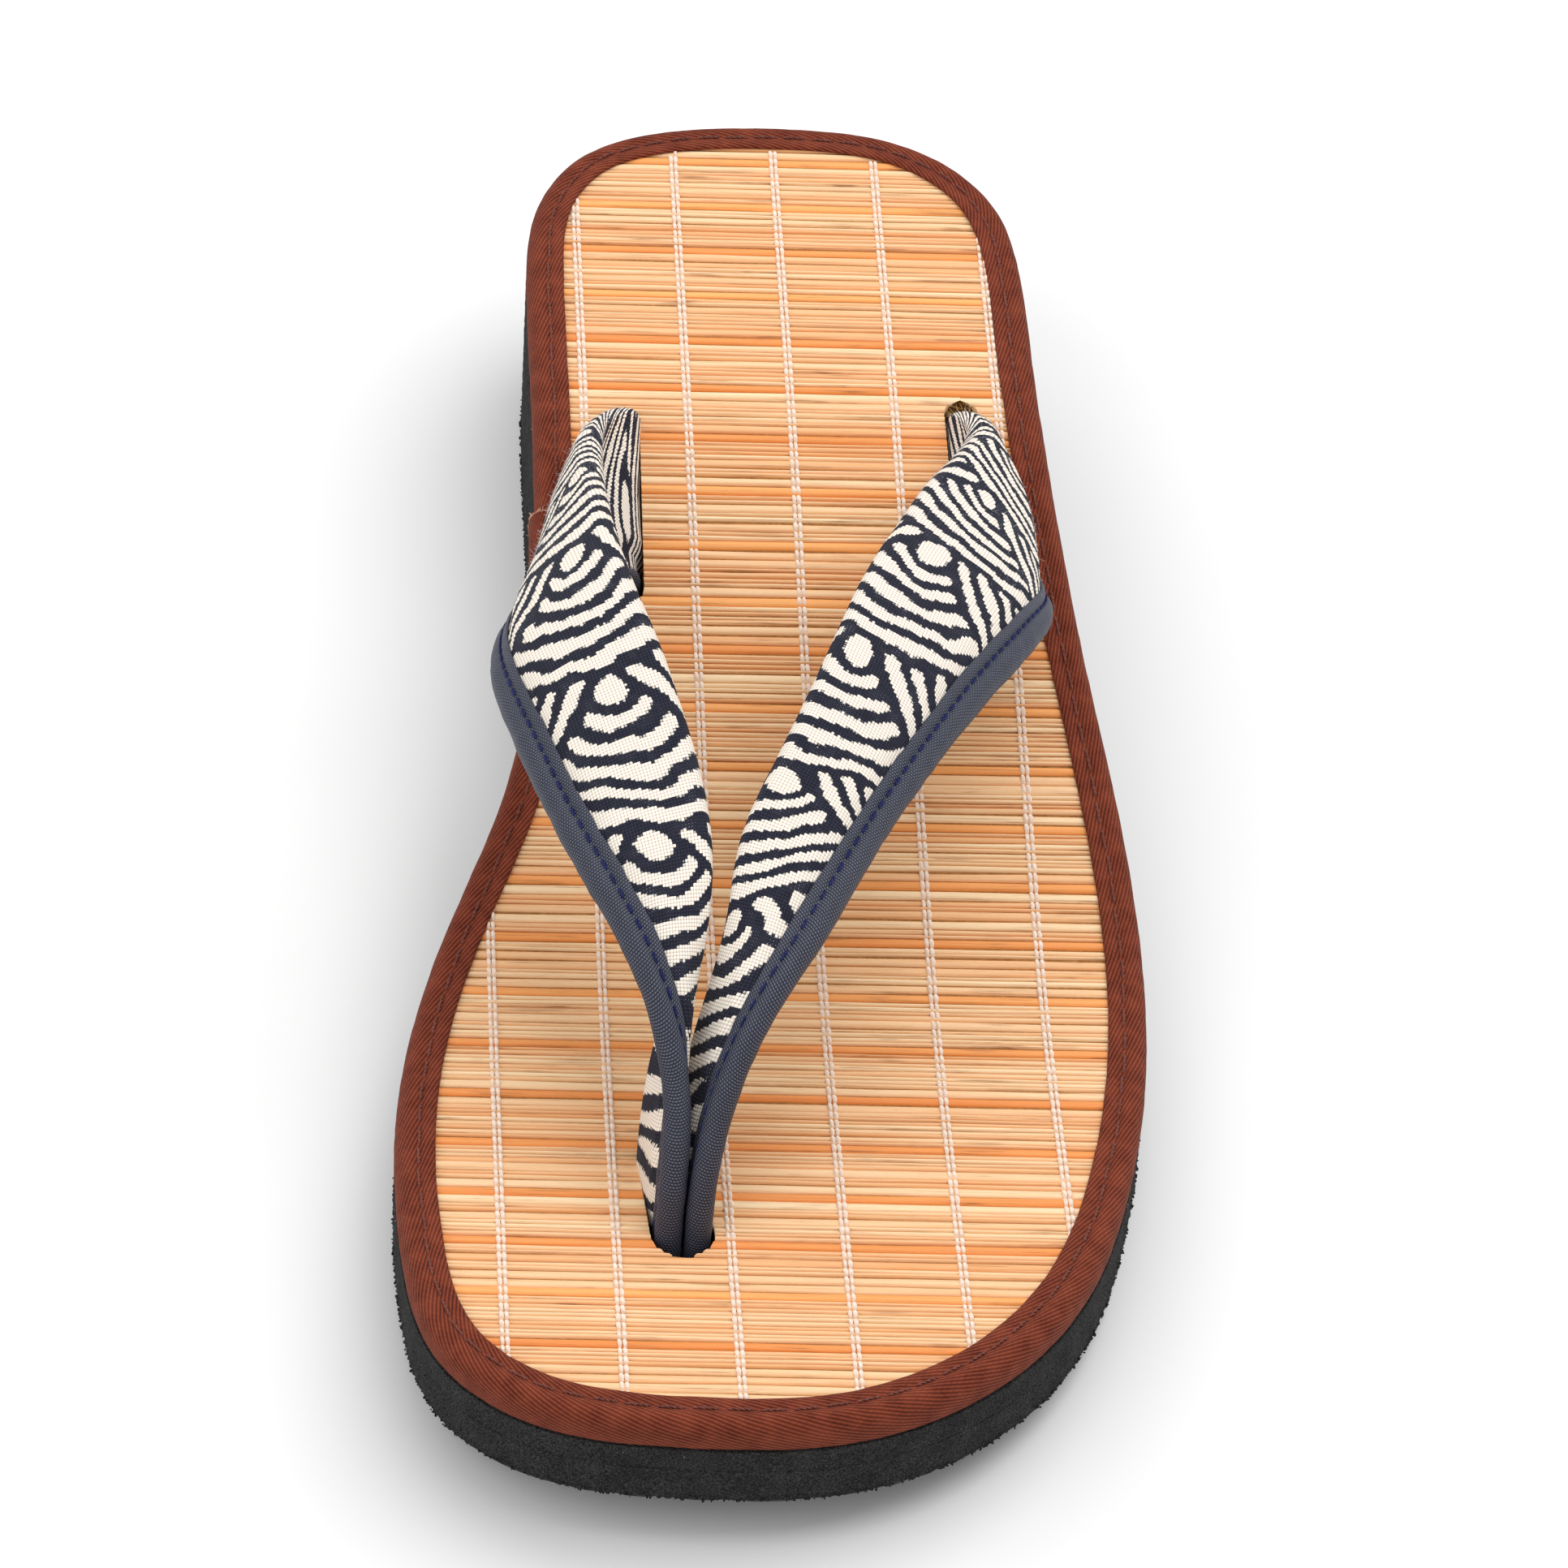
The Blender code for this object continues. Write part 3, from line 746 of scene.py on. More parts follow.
def plain_weave():
    """Yarns that pass over and under each other, with a small hole where four of them meet."""
    def fill(ports):
        across, along, _ = split_vector(ports["Place"])
        wave_x = maths("SINE", across * math.pi / ports["Pitch"])
        wave_y = maths("SINE", along * math.pi / ports["Pitch"])
        over = maths("GREATER_THAN", wave_x * wave_y, 0.0)
        lift_x = maths("ABSOLUTE", wave_x)
        lift_y = maths("ABSOLUTE", wave_y)
        warp = maths("POWER", lift_x, 0.5) * (lift_y * 0.65 + 0.35)
        weft = maths("POWER", lift_y, 0.5) * (lift_x * 0.65 + 0.35)
        hole = clamp(1.0 - (lift_x + lift_y) * 1.3)
        return {"Height": weft + over * (warp - weft), "Hole": hole}

    return make_group("plain_weave", {"Place": (0, 0, 0), "Pitch": 0.5}, fill)


def grain():
    """Fine crumbly grain with a slow change of tone."""
    def fill(ports):
        fine = noise(ports["Place"], ports["Scale"], 3.0, 0.65)
        return {"Height": fine, "Tone": noise(ports["Place"], ports["Scale"] * 0.06)}

    return make_group("grain", {"Place": (0, 0, 0), "Scale": 1.0}, fill)


def fan_print():
    """Overlapping fans of a dot and nested arcs, opening away from the toe. Ink is the cream."""
    def fill(ports):
        across, along, _ = split_vector(ports["Place"])
        slow = noise(ports["Place"], 0.13, 1.0)
        shifted = join_vector(across + 40.0, along + 17.0)
        across = across + (slow - 0.5) * PRINT_WANDER
        along = along + (noise(shifted, 0.15, 1.0) - 0.5) * PRINT_WANDER
        off_x = across - ports["Dot Across"]
        off_y = along - ports["Dot Along"]
        cosine = maths("COSINE", ports["Lean"])
        sine = maths("SINE", ports["Lean"])
        x = off_x * cosine - off_y * sine
        back = 0.0 - (off_y * cosine + off_x * sine)

        near = maths("PINGPONG", x, FAN_COLUMN)
        far = FAN_COLUMN - near
        rows, nexts = [], []
        for side, start in ((near, 0.0), (far, 0.5)):
            square = maths("MAXIMUM", FAN_RADIUS**2 - side * side, 0.0)
            step = maths("FLOOR", (back + maths("SQRT", square)) / FAN_ROW - start)
            rows.append((step + start) * FAN_ROW)
            nexts.append((step + (start + 1.0)) * FAN_ROW)
        row = maths("MAXIMUM", *rows)
        first = maths("GREATER_THAN", rows[0], rows[1])
        side = far + first * (near - far)
        distance = length_of(side, row - back)

        gaps = []
        for column, centre in ((near, nexts[0]), (far, nexts[1])):
            behind = maths("LESS_THAN", centre, row + 0.1)
            gaps.append(length_of(column, centre - back) - FAN_RADIUS + behind * FAR_OFF)
        edge = maths("MINIMUM", *gaps) - PRINT_GAP

        start = ARC_FIRST - ARC_PITCH / 2
        offset = maths("FLOORED_MODULO", distance - start, ARC_PITCH) - ARC_PITCH / 2
        width = ARC_HALF_WIDTH + (noise(shifted, 0.45, 1.0) - 0.5) * ARC_UNEVEN
        cap = maths("MAXIMUM", width - edge, 0.0)
        arc = width - length_of(cap, offset)
        arc = arc - maths("LESS_THAN", distance, start) * FAR_OFF
        dot = DOT_RADIUS - distance + (slow - 0.5) * DOT_UNEVEN
        ink = maths("MAXIMUM", arc, maths("MINIMUM", dot, edge + 0.5))
        ink = ink + (ports["Yarn"] - 0.5) * YARN_REACH
        return {"Ink": clamp(ink * INK_SHARPNESS + 0.5)}

    inputs = {"Place": (0, 0, 0), "Yarn": 0.5, "Dot Across": 0.0, "Dot Along": 0.0, "Lean": 0.0}
    return make_group("fan_print", inputs, fill)


# Materials

def start_material(name, **constants):
    """A material; a constant's name is its socket's on the shader, with spaces as _."""
    material = bpy.data.materials.new(name)
    material.use_nodes = True
    shader = material.node_tree.nodes["Principled BSDF"]
    for label, value in constants.items():
        feed(shader.inputs[label.replace("_", " ")], value)
    return material


def finish_material(material, colour, height, depth, strength=0.8):
    """Give the shader its colour, and a bump whose depth is in millimetres."""
    shader = material.node_tree.nodes["Principled BSDF"]
    inputs = {"Height": height, "Distance": depth * MM, "Strength": strength}
    feed(shader.inputs["Base Color"], colour)
    feed(shader.inputs["Normal"], add_node("ShaderNodeBump", inputs))
    return material


def cloth_material(name, weave, print_group, fan):
    """Coarse cotton, printed in cream on navy with edges that step from yarn to yarn.

    cloth holds places across and along the yarns, and how far the print leans against them.
    """
    material = start_material(name, Roughness=0.9, Specular_IOR_Level=0.2, Sheen_Weight=0.03)
    cloth = mark(material, "cloth")
    yarn = use_group(weave, {"Place": cloth, "Pitch": CLOTH_PITCH})
    _, _, lean = split_vector(cloth)
    cell = vector_maths("MULTIPLY", cloth, (1 / CLOTH_PITCH, 1 / CLOTH_PITCH, 0.0))
    corner = vector_maths("FLOOR", cell)
    chance = add_node("ShaderNodeTexWhiteNoise", {"Vector": corner})
    to_middle = vector_maths("SUBTRACT", vector_maths("ADD", corner, (0.5, 0.5, 0.0)), cell)
    step_x, step_y, _ = split_vector(to_middle)
    step_x = step_x * (CLOTH_PITCH * YARN_STEPS)
    step = join_vector(step_x, step_y * (CLOTH_PITCH * YARN_STEPS) + step_x * lean)
    ports = {
        "Place": vector_maths("ADD", mark(material, "place"), step),
        "Yarn": yarn["Height"] * 0.35 + chance * 0.65,
        "Dot Across": fan[0], "Dot Along": fan[1], "Lean": fan[2],
    }
    ink = use_group(print_group, ports)["Ink"]
    fade = noise(cloth, 0.9, 3.0)
    patches = clamp(noise(cloth, 0.22) * 6.0 - 3.2)
    flecks = yarn["Hole"] * maths("GREATER_THAN", chance, 0.3) * patches
    # Painted shade: the cream is darker in the holes between yarns and on the weave's low parts
    sunk = clamp(yarn["Hole"] * 1.2 + (0.8 - yarn["Height"]) * 0.7)
    cream = blend_colours(sunk, linear(252, 246, 236), linear(204, 168, 130))
    # Partly painted highlight: the navy is lighter on the raised yarn tops; it also fades in
    # patches at random
    lit_tops_and_fading = yarn["Height"] * (0.4 + fade)
    navy = blend_colours(lit_tops_and_fading, linear(12, 13, 24), linear(48, 50, 66))
    navy = blend_colours(flecks, navy, linear(196, 196, 206))
    colour = blend_colours(ink, navy, cream)
    return finish_material(material, colour, yarn["Height"] + ink * 0.12, 0.16)


def piping_material():
    """Navy grosgrain tape: ribs of floats in a brick pattern, with a painted highlight on each
    float, painted shade between the ribs, and a little shine.
    """
    material = start_material(
        "navy_tape", Roughness=0.5, Specular_IOR_Level=0.3, Sheen_Weight=0.03)
    place = mark(material, "place")
    across, along, _ = split_vector(place)
    line = along / TAPE_RIB_PITCH
    rib = maths("ABSOLUTE", maths("SINE", line * math.pi))
    turn = across * (2 * math.pi / TAPE_FLOAT_PITCH) + maths("FLOOR", line) * math.pi
    bright = maths("COSINE", turn) * 0.5 + 0.5
    # Painted highlight on the floats of each rib; the dark colour between the ribs is painted
    # shade
    float_highlight = maths("POWER", rib, 2.6) * clamp(bright * 3.0 - 0.2)
    share = float_highlight * (0.7 + noise(place, 0.4) * 0.6)
    colour = blend_colours(share, linear(24, 25, 34), linear(96, 101, 122))
    return finish_material(material, colour, rib * (0.4 + bright * 0.6), 0.1)


def tape_material():
    """Brown cotton tape in a steep twill."""
    material = start_material(
        "brown_tape", Roughness=0.88, Specular_IOR_Level=0.15, Sheen_Weight=0.02)
    place = mark(material, "place")
    across, along, _ = split_vector(place)
    drift = (noise(place, 0.12) - 0.5) * 0.5
    cosine, sine = math.cos(TWILL_ANGLE), math.sin(TWILL_ANGLE)
    line = across * (cosine / TWILL_PITCH) - along * (sine / TWILL_PITCH) + drift
    run = across * sine + along * cosine
    knot = wave(run * (2 * math.pi / TWILL_FLOAT) + maths("FLOOR", line) * 2.4)
    height = wave(line * (2 * math.pi)) * (0.75 + knot * 0.25)
    # Partly painted light and shade: lighter on the raised twill lines and darker between them,
    # with a random change of tone
    share = clamp(height * 0.6 + (noise(place, 0.35, 3.0) - 0.5) * 0.7 + 0.1)
    colour = blend_colours(share, linear(74, 25, 14), linear(159, 79, 54))
    return finish_material(material, colour, height, 0.12)


def stick_material():
    """Split sticks with long fibres. look holds each stick's tone, dye and number."""
    material = start_material("stick_mat", Roughness=0.5)
    along, across, _ = split_vector(mark(material, "place"))
    tone, dye, number = split_vector(mark(material, "look"))
    streak = noise(join_vector(along * 0.025, across * 1.3, number), 1.0, 4.0, 0.6)
    fibre = noise(join_vector(along * 0.05, across * 5.0, number * 1.7), 1.0, 5.0, 0.7)
    patch = noise(join_vector(along * 0.09, across * 0.9, number * 3.1), 1.0, 3.0)
    share = clamp(streak * 0.95 + tone * 0.55 - 0.27)
    plain = blend_colours(share, linear(234, 160, 94), linear(254, 230, 188))
    orange = blend_colours(share, linear(230, 130, 54), linear(254, 184, 108))
    torn = clamp((patch - 0.57) * 9.0) * clamp((0.53 - fibre) * 7.0) * 0.75
    dark = maths("MAXIMUM", clamp((0.42 - fibre) * 7.0) * 0.8, torn)
    colour = blend_colours(dark, blend_colours(dye, plain, orange), linear(146, 86, 40))
    return finish_material(material, colour, fibre, 0.1)


def thread_material(name, low, high, roughness):
    """Spun thread between two tones."""
    material = start_material(name, Roughness=roughness, Specular_IOR_Level=0.25)
    tone = noise(mark(material, "place"), 2.2)
    colour = blend_colours(tone, linear(*low), linear(*high))
    return finish_material(material, colour, tone, 0.05, 1.0)


def speckled_material(speckle, name, low, high, scale, depth, roughness, contrast, level):
    """Foam, rubber, board or glue: a grain between two tones, with painted shade in a cut side's
    grooves.
    """
    material = start_material(name, Roughness=roughness, Specular_IOR_Level=0.3)
    place = add_node("ShaderNodeTexCoord", {}, "Object", material.node_tree)
    look = use_group(speckle, {"Place": place, "Scale": scale})
    groove, _, _ = split_vector(mark(material, "look"))
    share = (look["Height"] - 0.5) * contrast + (look["Tone"] - 0.5) * 0.6 + level
    # Painted shade: darker where look gives a deep groove of the cut side's ribs
    share = clamp(share * clamp(1.15 - groove * 1.7))
    colour = blend_colours(share, linear(*low), linear(*high))
    return finish_material(material, colour, look["Height"], depth, 1.0)


# Strap and piping

def band_frames(rows, side):
    """Front point, direction to the rear edge, outward normal, width and crown of each row."""
    table = smooth_rows(rows, ARM_STATIONS, crowding=ARM_CROWDING)
    rear, front, crown = table[:, 0:3], table[:, 3:6], table[:, 6]
    width = np.linalg.norm(rear - front, axis=1)
    across = (rear - front) / width[:, None]
    along = np.gradient((rear + front) / 2, axis=0)
    normal = side * np.cross(along, across)
    for _ in range(NORMAL_SMOOTHING):
        normal = unit(normal)
        normal[1:-1] = 0.25 * normal[:-2] + 0.5 * normal[1:-1] + 0.25 * normal[2:]
    normal = unit(normal - across * np.sum(normal * across, axis=1)[:, None])
    return list(zip(front, across, normal, width, np.maximum(crown, 0.0)))


def place_section(band, section):
    """The section's points on one row of the band, lifted by the row's crown."""
    front, across, normal, width, crown = band
    if callable(section):
        section = section(width)
    rise = crown * np.sin(math.pi * np.clip(section[:, 0] / width, 0.0, 1.0))
    return front + across * section[:, :1] + normal * (section[:, 1:] + rise[:, None])


def fine_arm(rows, side, section):
    """Sections of an arm at closely spaced stations, and their lengths along the band.

    section holds distances from the front edge and heights, or makes them for a band's width.
    """
    bands = band_frames(rows, side)
    coarse = np.array([place_section(band, section) for band in bands])
    marks = lengths_along(np.array([
        front + across * width / 2 for front, across, _, width, _ in bands
    ]))
    flat = coarse.reshape(len(bands), -1)
    wanted = np.linspace(0.0, marks[-1], ARM_FINE_COUNT)
    fine = spline_at(marks, flat, spline_slopes(marks, flat), wanted)
    return fine.reshape(ARM_FINE_COUNT, -1, 3), wanted


def band_section(width):
    """Padded band: gripped flat by the piping, full behind it and round at the rear edge."""
    reach = width - BAND_HALF
    u = np.linspace(BAND_FRONT, reach, BAND_FACE_COUNT)
    swell = smooth_step(PIPING_WIDTH + BAND_SWELL[0], PIPING_WIDTH + BAND_SWELL[1], u)
    outer = np.column_stack([u, BAND_GRIPPED_HALF + (BAND_HALF - BAND_GRIPPED_HALF) * swell])
    angle = np.linspace(math.pi / 2, -math.pi / 2, BAND_REAR_COUNT + 2)[1:-1]
    rear = np.column_stack([reach + BAND_HALF * np.cos(angle), BAND_HALF * np.sin(angle)])
    return np.vstack([outer, rear, outer[::-1] * BELOW])


# Half of the rolled tape's outside, and of its inside: distance from the front edge, height.
# It dips where it is sewn through
PIPING_OUTSIDE = np.array([
    (PIPING_WIDTH, 1.3), (4.85, 1.46), (4.3, 1.54), (3.75, 1.45), (3.4, PIPING_DIP_HEIGHT),
    (3.1, PIPING_DIP_HEIGHT), (2.75, 1.5), (2.3, 1.72), (1.8, 1.8), (1.2, 1.72), (0.66, 1.4),
    (0.25, 0.9), (0.05, 0.4), (0.0, 0.0),
])
PIPING_INSIDE = np.array([
    (0.45, 0.0), (0.5, 0.45), (0.8, 0.95), (1.3, 1.28), (1.8, 1.36), (2.4, 1.25),
    (3.0, 1.0), (3.6, 0.98), (PIPING_WIDTH, 1.0),
])
PIPING_SECTION = np.vstack([
    PIPING_OUTSIDE, PIPING_OUTSIDE[-2::-1] * BELOW, PIPING_INSIDE[::-1] * BELOW, PIPING_INSIDE[1:],
])


def slanted_section():
    """The piping's section at the slot, where its inner leg is short."""
    section = PIPING_SECTION.copy()
    inner_leg = (section[:, 1] < 0) & (section[:, 0] > PIPING_RADIUS)
    section[inner_leg, 0] = PIPING_RADIUS + (section[inner_leg, 0] - PIPING_RADIUS) * SLANT_SHARE
    return section


def section_marks(points, wanted, start):
    """Distance across the cloth and along the band for every point, in millimetres."""
    steps = np.linalg.norm(np.diff(points, axis=1), axis=2)
    across = np.concatenate([np.zeros((len(points), 1)), np.cumsum(steps, axis=1)], axis=1)
    along = np.broadcast_to(wanted[:, None], across.shape)
    return np.stack([across + start, along, np.zeros_like(across)], axis=2)


def face_share(points, reach):
    """From 0 on the band's outer face to 1 on its inner face, for each point of a section."""
    count = points.shape[1]
    return smooth_step(*reach, np.arange(count) / count)


def soft_creases(points, wanted, seed):
    """Shallow unevenness of padded cloth, deeper where the band turns into the sole."""
    away = unit(points - points.mean(axis=1, keepdims=True))
    near_ends = 1.0
    for (gain, reach), distance in ((CREASE_SLOT, wanted), (CREASE_POST, wanted[-1] - wanted)):
        near_ends = near_ends + gain * np.exp(-distance / reach)
    columns = np.arange(points.shape[1])
    broad = soft_noise(wanted, *CREASE_BROAD, seed)[:, None] * np.cos(columns / CREASE_ACROSS[0])
    fine = soft_noise(wanted, *CREASE_FINE, seed + 1)[:, None] * np.sin(columns / CREASE_ACROSS[1])
    return points + away * ((broad + fine) * near_ends[:, None] * CREASE_DEPTH)[..., None]


def turn_rate(marks, turn):
    """How much the print turns towards the join, on the outer face only."""
    rate, _, fade = turn
    left = marks[-1, 0, 1] - marks[..., 1]
    return rate * (1 - face_share(marks, INNER_FACE)) * (1 - smooth_step(*fade, left))


def yarn_marks(points, marks, turned):
    """Places across and along the yarns, square to the band whose ruled lines cross it at a slant.

    The third number is how far the print leans against the yarns.
    """
    front, rear = points[:, 0], points[:, BAND_FACE_COUNT - 1]
    heading = unit(np.gradient(rear + front, axis=0))
    lean = np.sum(unit(rear - front) * heading, axis=1)[:, None]
    middle = marks[:, -1:, 0] / 2
    off = marks[..., 0] - middle
    along = marks[..., 1] + lean * (middle / 2 - np.abs(off))
    return np.stack([off * np.sqrt(1 - lean**2), along, lean * np.sign(off) - turned], axis=2)


def gather(marks, column):
    """Draw the print together towards the slot, and narrow it inside and at the post."""
    inner = face_share(marks, INNER_FACE)
    across, along = marks[..., 0], marks[..., 1]
    total = across[:, -1:]
    left = along.max() - along
    near_slot = inner * (1 - smooth_step(*INSIDE_FADE, along))
    near_post = smooth_step(-POST_FADE[0], -POST_FADE[1], -left)
    at_slot = column + FAN_COLUMN + (across - INSIDE_MIDDLE * total) * NARROWING
    at_post = column + (across - POST_MIDDLE * total) * POST_NARROWING
    reach = np.maximum(GATHER_REACH - along, 0.0)
    new_across = across + ((at_slot - across) * near_slot + (at_post - across) * near_post)
    new_along = along + POST_SHEAR * (across - SHEAR_MIDDLE * total) * near_post * inner
    new_along = new_along - GATHER_RATE * reach**2 * (1 + GATHER_INSIDE * inner)
    return np.stack([new_across, new_along, marks[..., 2]], axis=2)


def fill_slot(points, wanted):
    """Thicken the band on its inner face where it fills the slot."""
    gain = SLOT_FILL * (1 - smooth_step(*SLOT_FILL_FADE, wanted))[:, None]
    gain = gain * face_share(points, FILLED_FACE)
    return points + (points - points[:, ::-1]) / 2 * gain[..., None]


def make_arm(name, rows, side, material, column, turn, seed):
    """One padded arm of the strap. Gives its surface and the lengths along it."""
    points, wanted = fine_arm(rows, side, band_section)
    points = fill_slot(points, wanted)
    place = section_marks(points, wanted, BAND_FRONT)
    turned = turn_rate(place, turn)
    cloth = yarn_marks(points, place, turned)
    place[..., 1] -= turned * (place[..., 0] - turn[1])
    points = soft_creases(points, wanted, seed)
    piece = make_tubes(
        name, [points], material, "printed_cloth", angle=75.0,
        place=[gather(place, column)], cloth=[cloth],
    )
    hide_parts("strap")
    return points, wanted


def make_fuzz(name, points, wanted, side, material):
    """Fine hairs that stand off the brushed cloth near the slot."""
    picks = RANDOM.uniform(0.0, 1.0, (FUZZ_COUNT, 3))
    low, high = np.searchsorted(wanted, FUZZ_REACH)
    i = (low + picks[:, 0] * (high - low)).astype(int)
    j = (1 + picks[:, 1] * FUZZ_FACE * points.shape[1]).astype(int)
    along = points[i + 1, j] - points[i - 1, j]
    across = points[i, j + 1] - points[i, j - 1]
    normals = unit(side * np.cross(along, across))
    headings = unit(FUZZ_STAND * normals + RANDOM.normal(0.0, FUZZ_LEAN, (FUZZ_COUNT, 3)))
    bends = RANDOM.normal(0.0, FUZZ_BEND, (FUZZ_COUNT, 3))
    lengths = FUZZ_LENGTH[0] + FUZZ_LENGTH[1] * picks[:, 2] ** 2
    t = np.linspace(0.0, 1.0, 4)[:, None]
    hairs = []
    for root, normal, heading, bend, length in zip(
            points[i, j], normals, headings, bends, lengths):
        path = root - normal * FUZZ_ROOT + heading * length * t + bend * length * t**2
        sideways = np.cross(heading, (0.3, 0.5, 0.8))
        hairs.append(round_tube(path, sideways, np.cross(heading, sideways), FUZZ_RADIUS, 3))
    make_tubes(name, hairs, material, "printed_cloth")


def make_piping(name, node, rows, side, material, seed):
    """Tape rolled round the front edge of one arm."""
    points, wanted = fine_arm(rows, side, PIPING_SECTION)
    marks = section_marks(points, wanted, 0.0)
    slanted, _ = fine_arm(rows, side, slanted_section())
    full = smooth_step(SLANT_START, SLANT_END, wanted)[:, None, None]
    points = slanted + (points - slanted) * full
    ripple = sum(soft_noise(wanted, *row, seed + i) for i, row in enumerate(PIPING_RIPPLES))
    centre = points.mean(axis=1, keepdims=True)
    points = centre + (points - centre) * (1 + ripple[:, None, None])
    piece = make_tubes(name, [points], material, "navy_tape", angle=75.0, place=[marks])
    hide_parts(node)


def make_piping_stitches(name, rows, side, material):
    """One run of small stitches on each face of the band, along the piping's dip."""
    plies = []
    for face, first in ((1, PIPING_STITCH_START), (-1, SLANT_END)):
        rise = face * (PIPING_DIP_HEIGHT + PIPING_THREAD_RADIUS * PIPING_STITCH_LIFT)
        line = np.array([
            (PIPING_STITCH_INSET, rise), (PIPING_STITCH_INSET + 1.0, rise),
            (PIPING_STITCH_INSET, rise + face),
        ])
        points, wanted = fine_arm(rows, side, line)
        for start in np.arange(first, wanted[-1] - PIPING_STITCH_STOP, PIPING_STITCH_PITCH):
            marks = np.linspace(start, start + PIPING_STITCH_LENGTH, 9)
            path, beside, above = (points_at(marks, wanted, points[:, k]) for k in range(3))
            up = above - path
            dip = np.linspace(-1, 1, len(marks)) ** 4 * PIPING_STITCH_DIP
            plies += twisted_stitch(
                path - up * dip[:, None], beside - path, up,
                PIPING_THREAD_RADIUS, PIPING_STITCH_TURNS,
            )
    make_tubes(name, plies, material, "navy_tape")


# Stick mat

def opening_plan(centre_x, centre_y, length, toe_width, heel_width, turn):
    """An opening's round-ended outline, seen from above."""
    cosine, sine = math.cos(math.radians(turn)), math.sin(math.radians(turn))
    plan = []
    for side, width, first in ((1, heel_width, 0.0), (-1, toe_width, math.pi)):
        radius = width / 2
        for k in range(OPENING_ROUND_STEPS + 1):
            angle = math.pi * k / OPENING_ROUND_STEPS + first
            x = radius * math.cos(angle)
            y = radius * math.sin(angle) + side * (length / 2 - radius)
            plan.append((centre_x + x * cosine - y * sine, centre_y + x * sine + y * cosine))
    return np.array(plan)


MAT_PLANS = [opening_plan(*opening) for opening in OPENINGS]


def crossings(plan, y0):
    """Where a stick's line, at height y0 on the middle line, crosses a closed plan."""
    ahead = np.roll(plan, -1, axis=0)
    over, over_ahead = (line[:, 1] - (y0 + STICK_SLOPE * line[:, 0]) for line in (plan, ahead))
    cut = over * over_ahead < 0
    share = over[cut] / (over[cut] - over_ahead[cut])
    return np.sort(plan[cut, 0] + share * (ahead[cut, 0] - plan[cut, 0]))


def holds(plan, x, y):
    """Whether a closed plan has the place x, y inside it."""
    ahead = np.roll(plan, -1, axis=0)
    spans = (plan[:, 1] > y) != (ahead[:, 1] > y)
    rise = np.where(spans, ahead[:, 1] - plan[:, 1], 1.0)
    reach = plan[:, 0] + (y - plan[:, 1]) * (ahead[:, 0] - plan[:, 0]) / rise
    return np.count_nonzero(spans & (x < reach)) % 2 == 1


def stick_spans(y0, offsets, mat_plan):
    """Start and end of each length of a stick, for lines at several offsets across it.

    A line that passes beside an opening's tip, which its neighbours cross, is cut at the tip.
    """
    edge = [crossings(mat_plan, y0 + offset) for offset in offsets]
    if any(len(cut) < 2 for cut in edge):
        return []
    ends = [[cut[0] for cut in edge]]
    for plan in MAT_PLANS:
        cuts = [crossings(plan, y0 + offset) for offset in offsets]
        met = [(cut[0], cut[-1]) for cut in cuts if len(cut) > 1]
        if met:
            tip = sum(min(met, key=lambda pair: pair[1] - pair[0])) / 2
            ends += [[cut[end] if len(cut) > 1 else tip for cut in cuts] for end in (0, -1)]
    ends.append([cut[-1] for cut in edge])
    return [(np.array(ends[i]), np.array(ends[i + 1])) for i in range(0, len(ends), 2)]


def stick_rows():
    """Each stick's number and its y on the middle line, evenly spaced along the slope."""
    y = np.linspace(MAT_START_Y, MAT_END_Y, MAT_FINE_COUNT)
    marks = lengths_along(np.column_stack([y, footbed_height(y)]))
    zero = np.interp(-STICK_FIRST_Y, -y, marks)
    return [
        (number, float(np.interp(zero + number * STICK_PITCH, marks, y)))
        for number in range(*STICK_RANGE)
        if 0 <= zero + number * STICK_PITCH <= marks[-1]
    ]


def sliver(starts, ends, y0, low, high, lift, seed):
    """Rings of points and places along one sliver, from low to high across the stick."""
    count = max(3, int((ends.mean() - starts.mean()) / STICK_STEP))
    x = starts + (ends - starts) * np.linspace(0.0, 1.0, count)[:, None]
    line = x.mean(axis=1)
    middle = (low + high) / 2 + soft_noise(line, *STICK_SWAY, seed)
    half = (high - low) / 2 * (1 + soft_noise(line, *STICK_SWELL, seed + 2))
    across = middle[:, None] + half[:, None] * STICK_SECTION[:, 0]
    height = STICK_SECTION[:, 1] + lift + soft_noise(line, *STICK_WAVE, seed + 1)[:, None]
    y = y0 + STICK_SLOPE * x
    slope = footbed_slope(y)
    points = np.stack([
        x - across * STICK_SLOPE, y + across - slope * height,
        footbed_height(y) + slope * across + height,
    ], axis=2)
    return points, np.stack([x, across, np.zeros_like(x)], axis=2)


def make_sticks(rows, material):
    """The mat's sticks, some split into two slivers, cut along the openings' edges."""
    mat_plan = edge_at(EDGE_MARKS[:-1], STICK_INSET)
    tubes, places, looks = [], [], []
    for number, y0 in rows:
        dyed = number in DYED_STICKS
        half = STICK_PITCH / 2 * RANDOM.uniform(*STICK_FILL)
        parts = [(-half, half)]
        if not dyed and RANDOM.random() < SPLIT_SHARE:
            split = RANDOM.uniform(-SPLIT_REACH, SPLIT_REACH) * half
            parts = [(-half, split - SPLIT_GAP), (split + SPLIT_GAP, half)]
        for part, (low, high) in enumerate(parts):
            tone, lift = RANDOM.uniform(0.0, 1.0), RANDOM.uniform(*STICK_LIFT)
            offsets = (low + high) / 2 + (high - low) / 2 * STICK_SECTION[:, 0]
            seed = 100 + 10 * (number + 5) + part
            for starts, ends in stick_spans(y0, offsets, mat_plan):
                rings, place = sliver(starts, ends, y0, low, high, lift, seed)
                tubes.append(rings)
                places.append(place)
                looks.append(np.broadcast_to((tone, dyed, number + 0.5 * part), rings.shape))
    make_tubes("mat_sticks", tubes, material, "stick_mat", angle=55.0, place=places, look=looks)


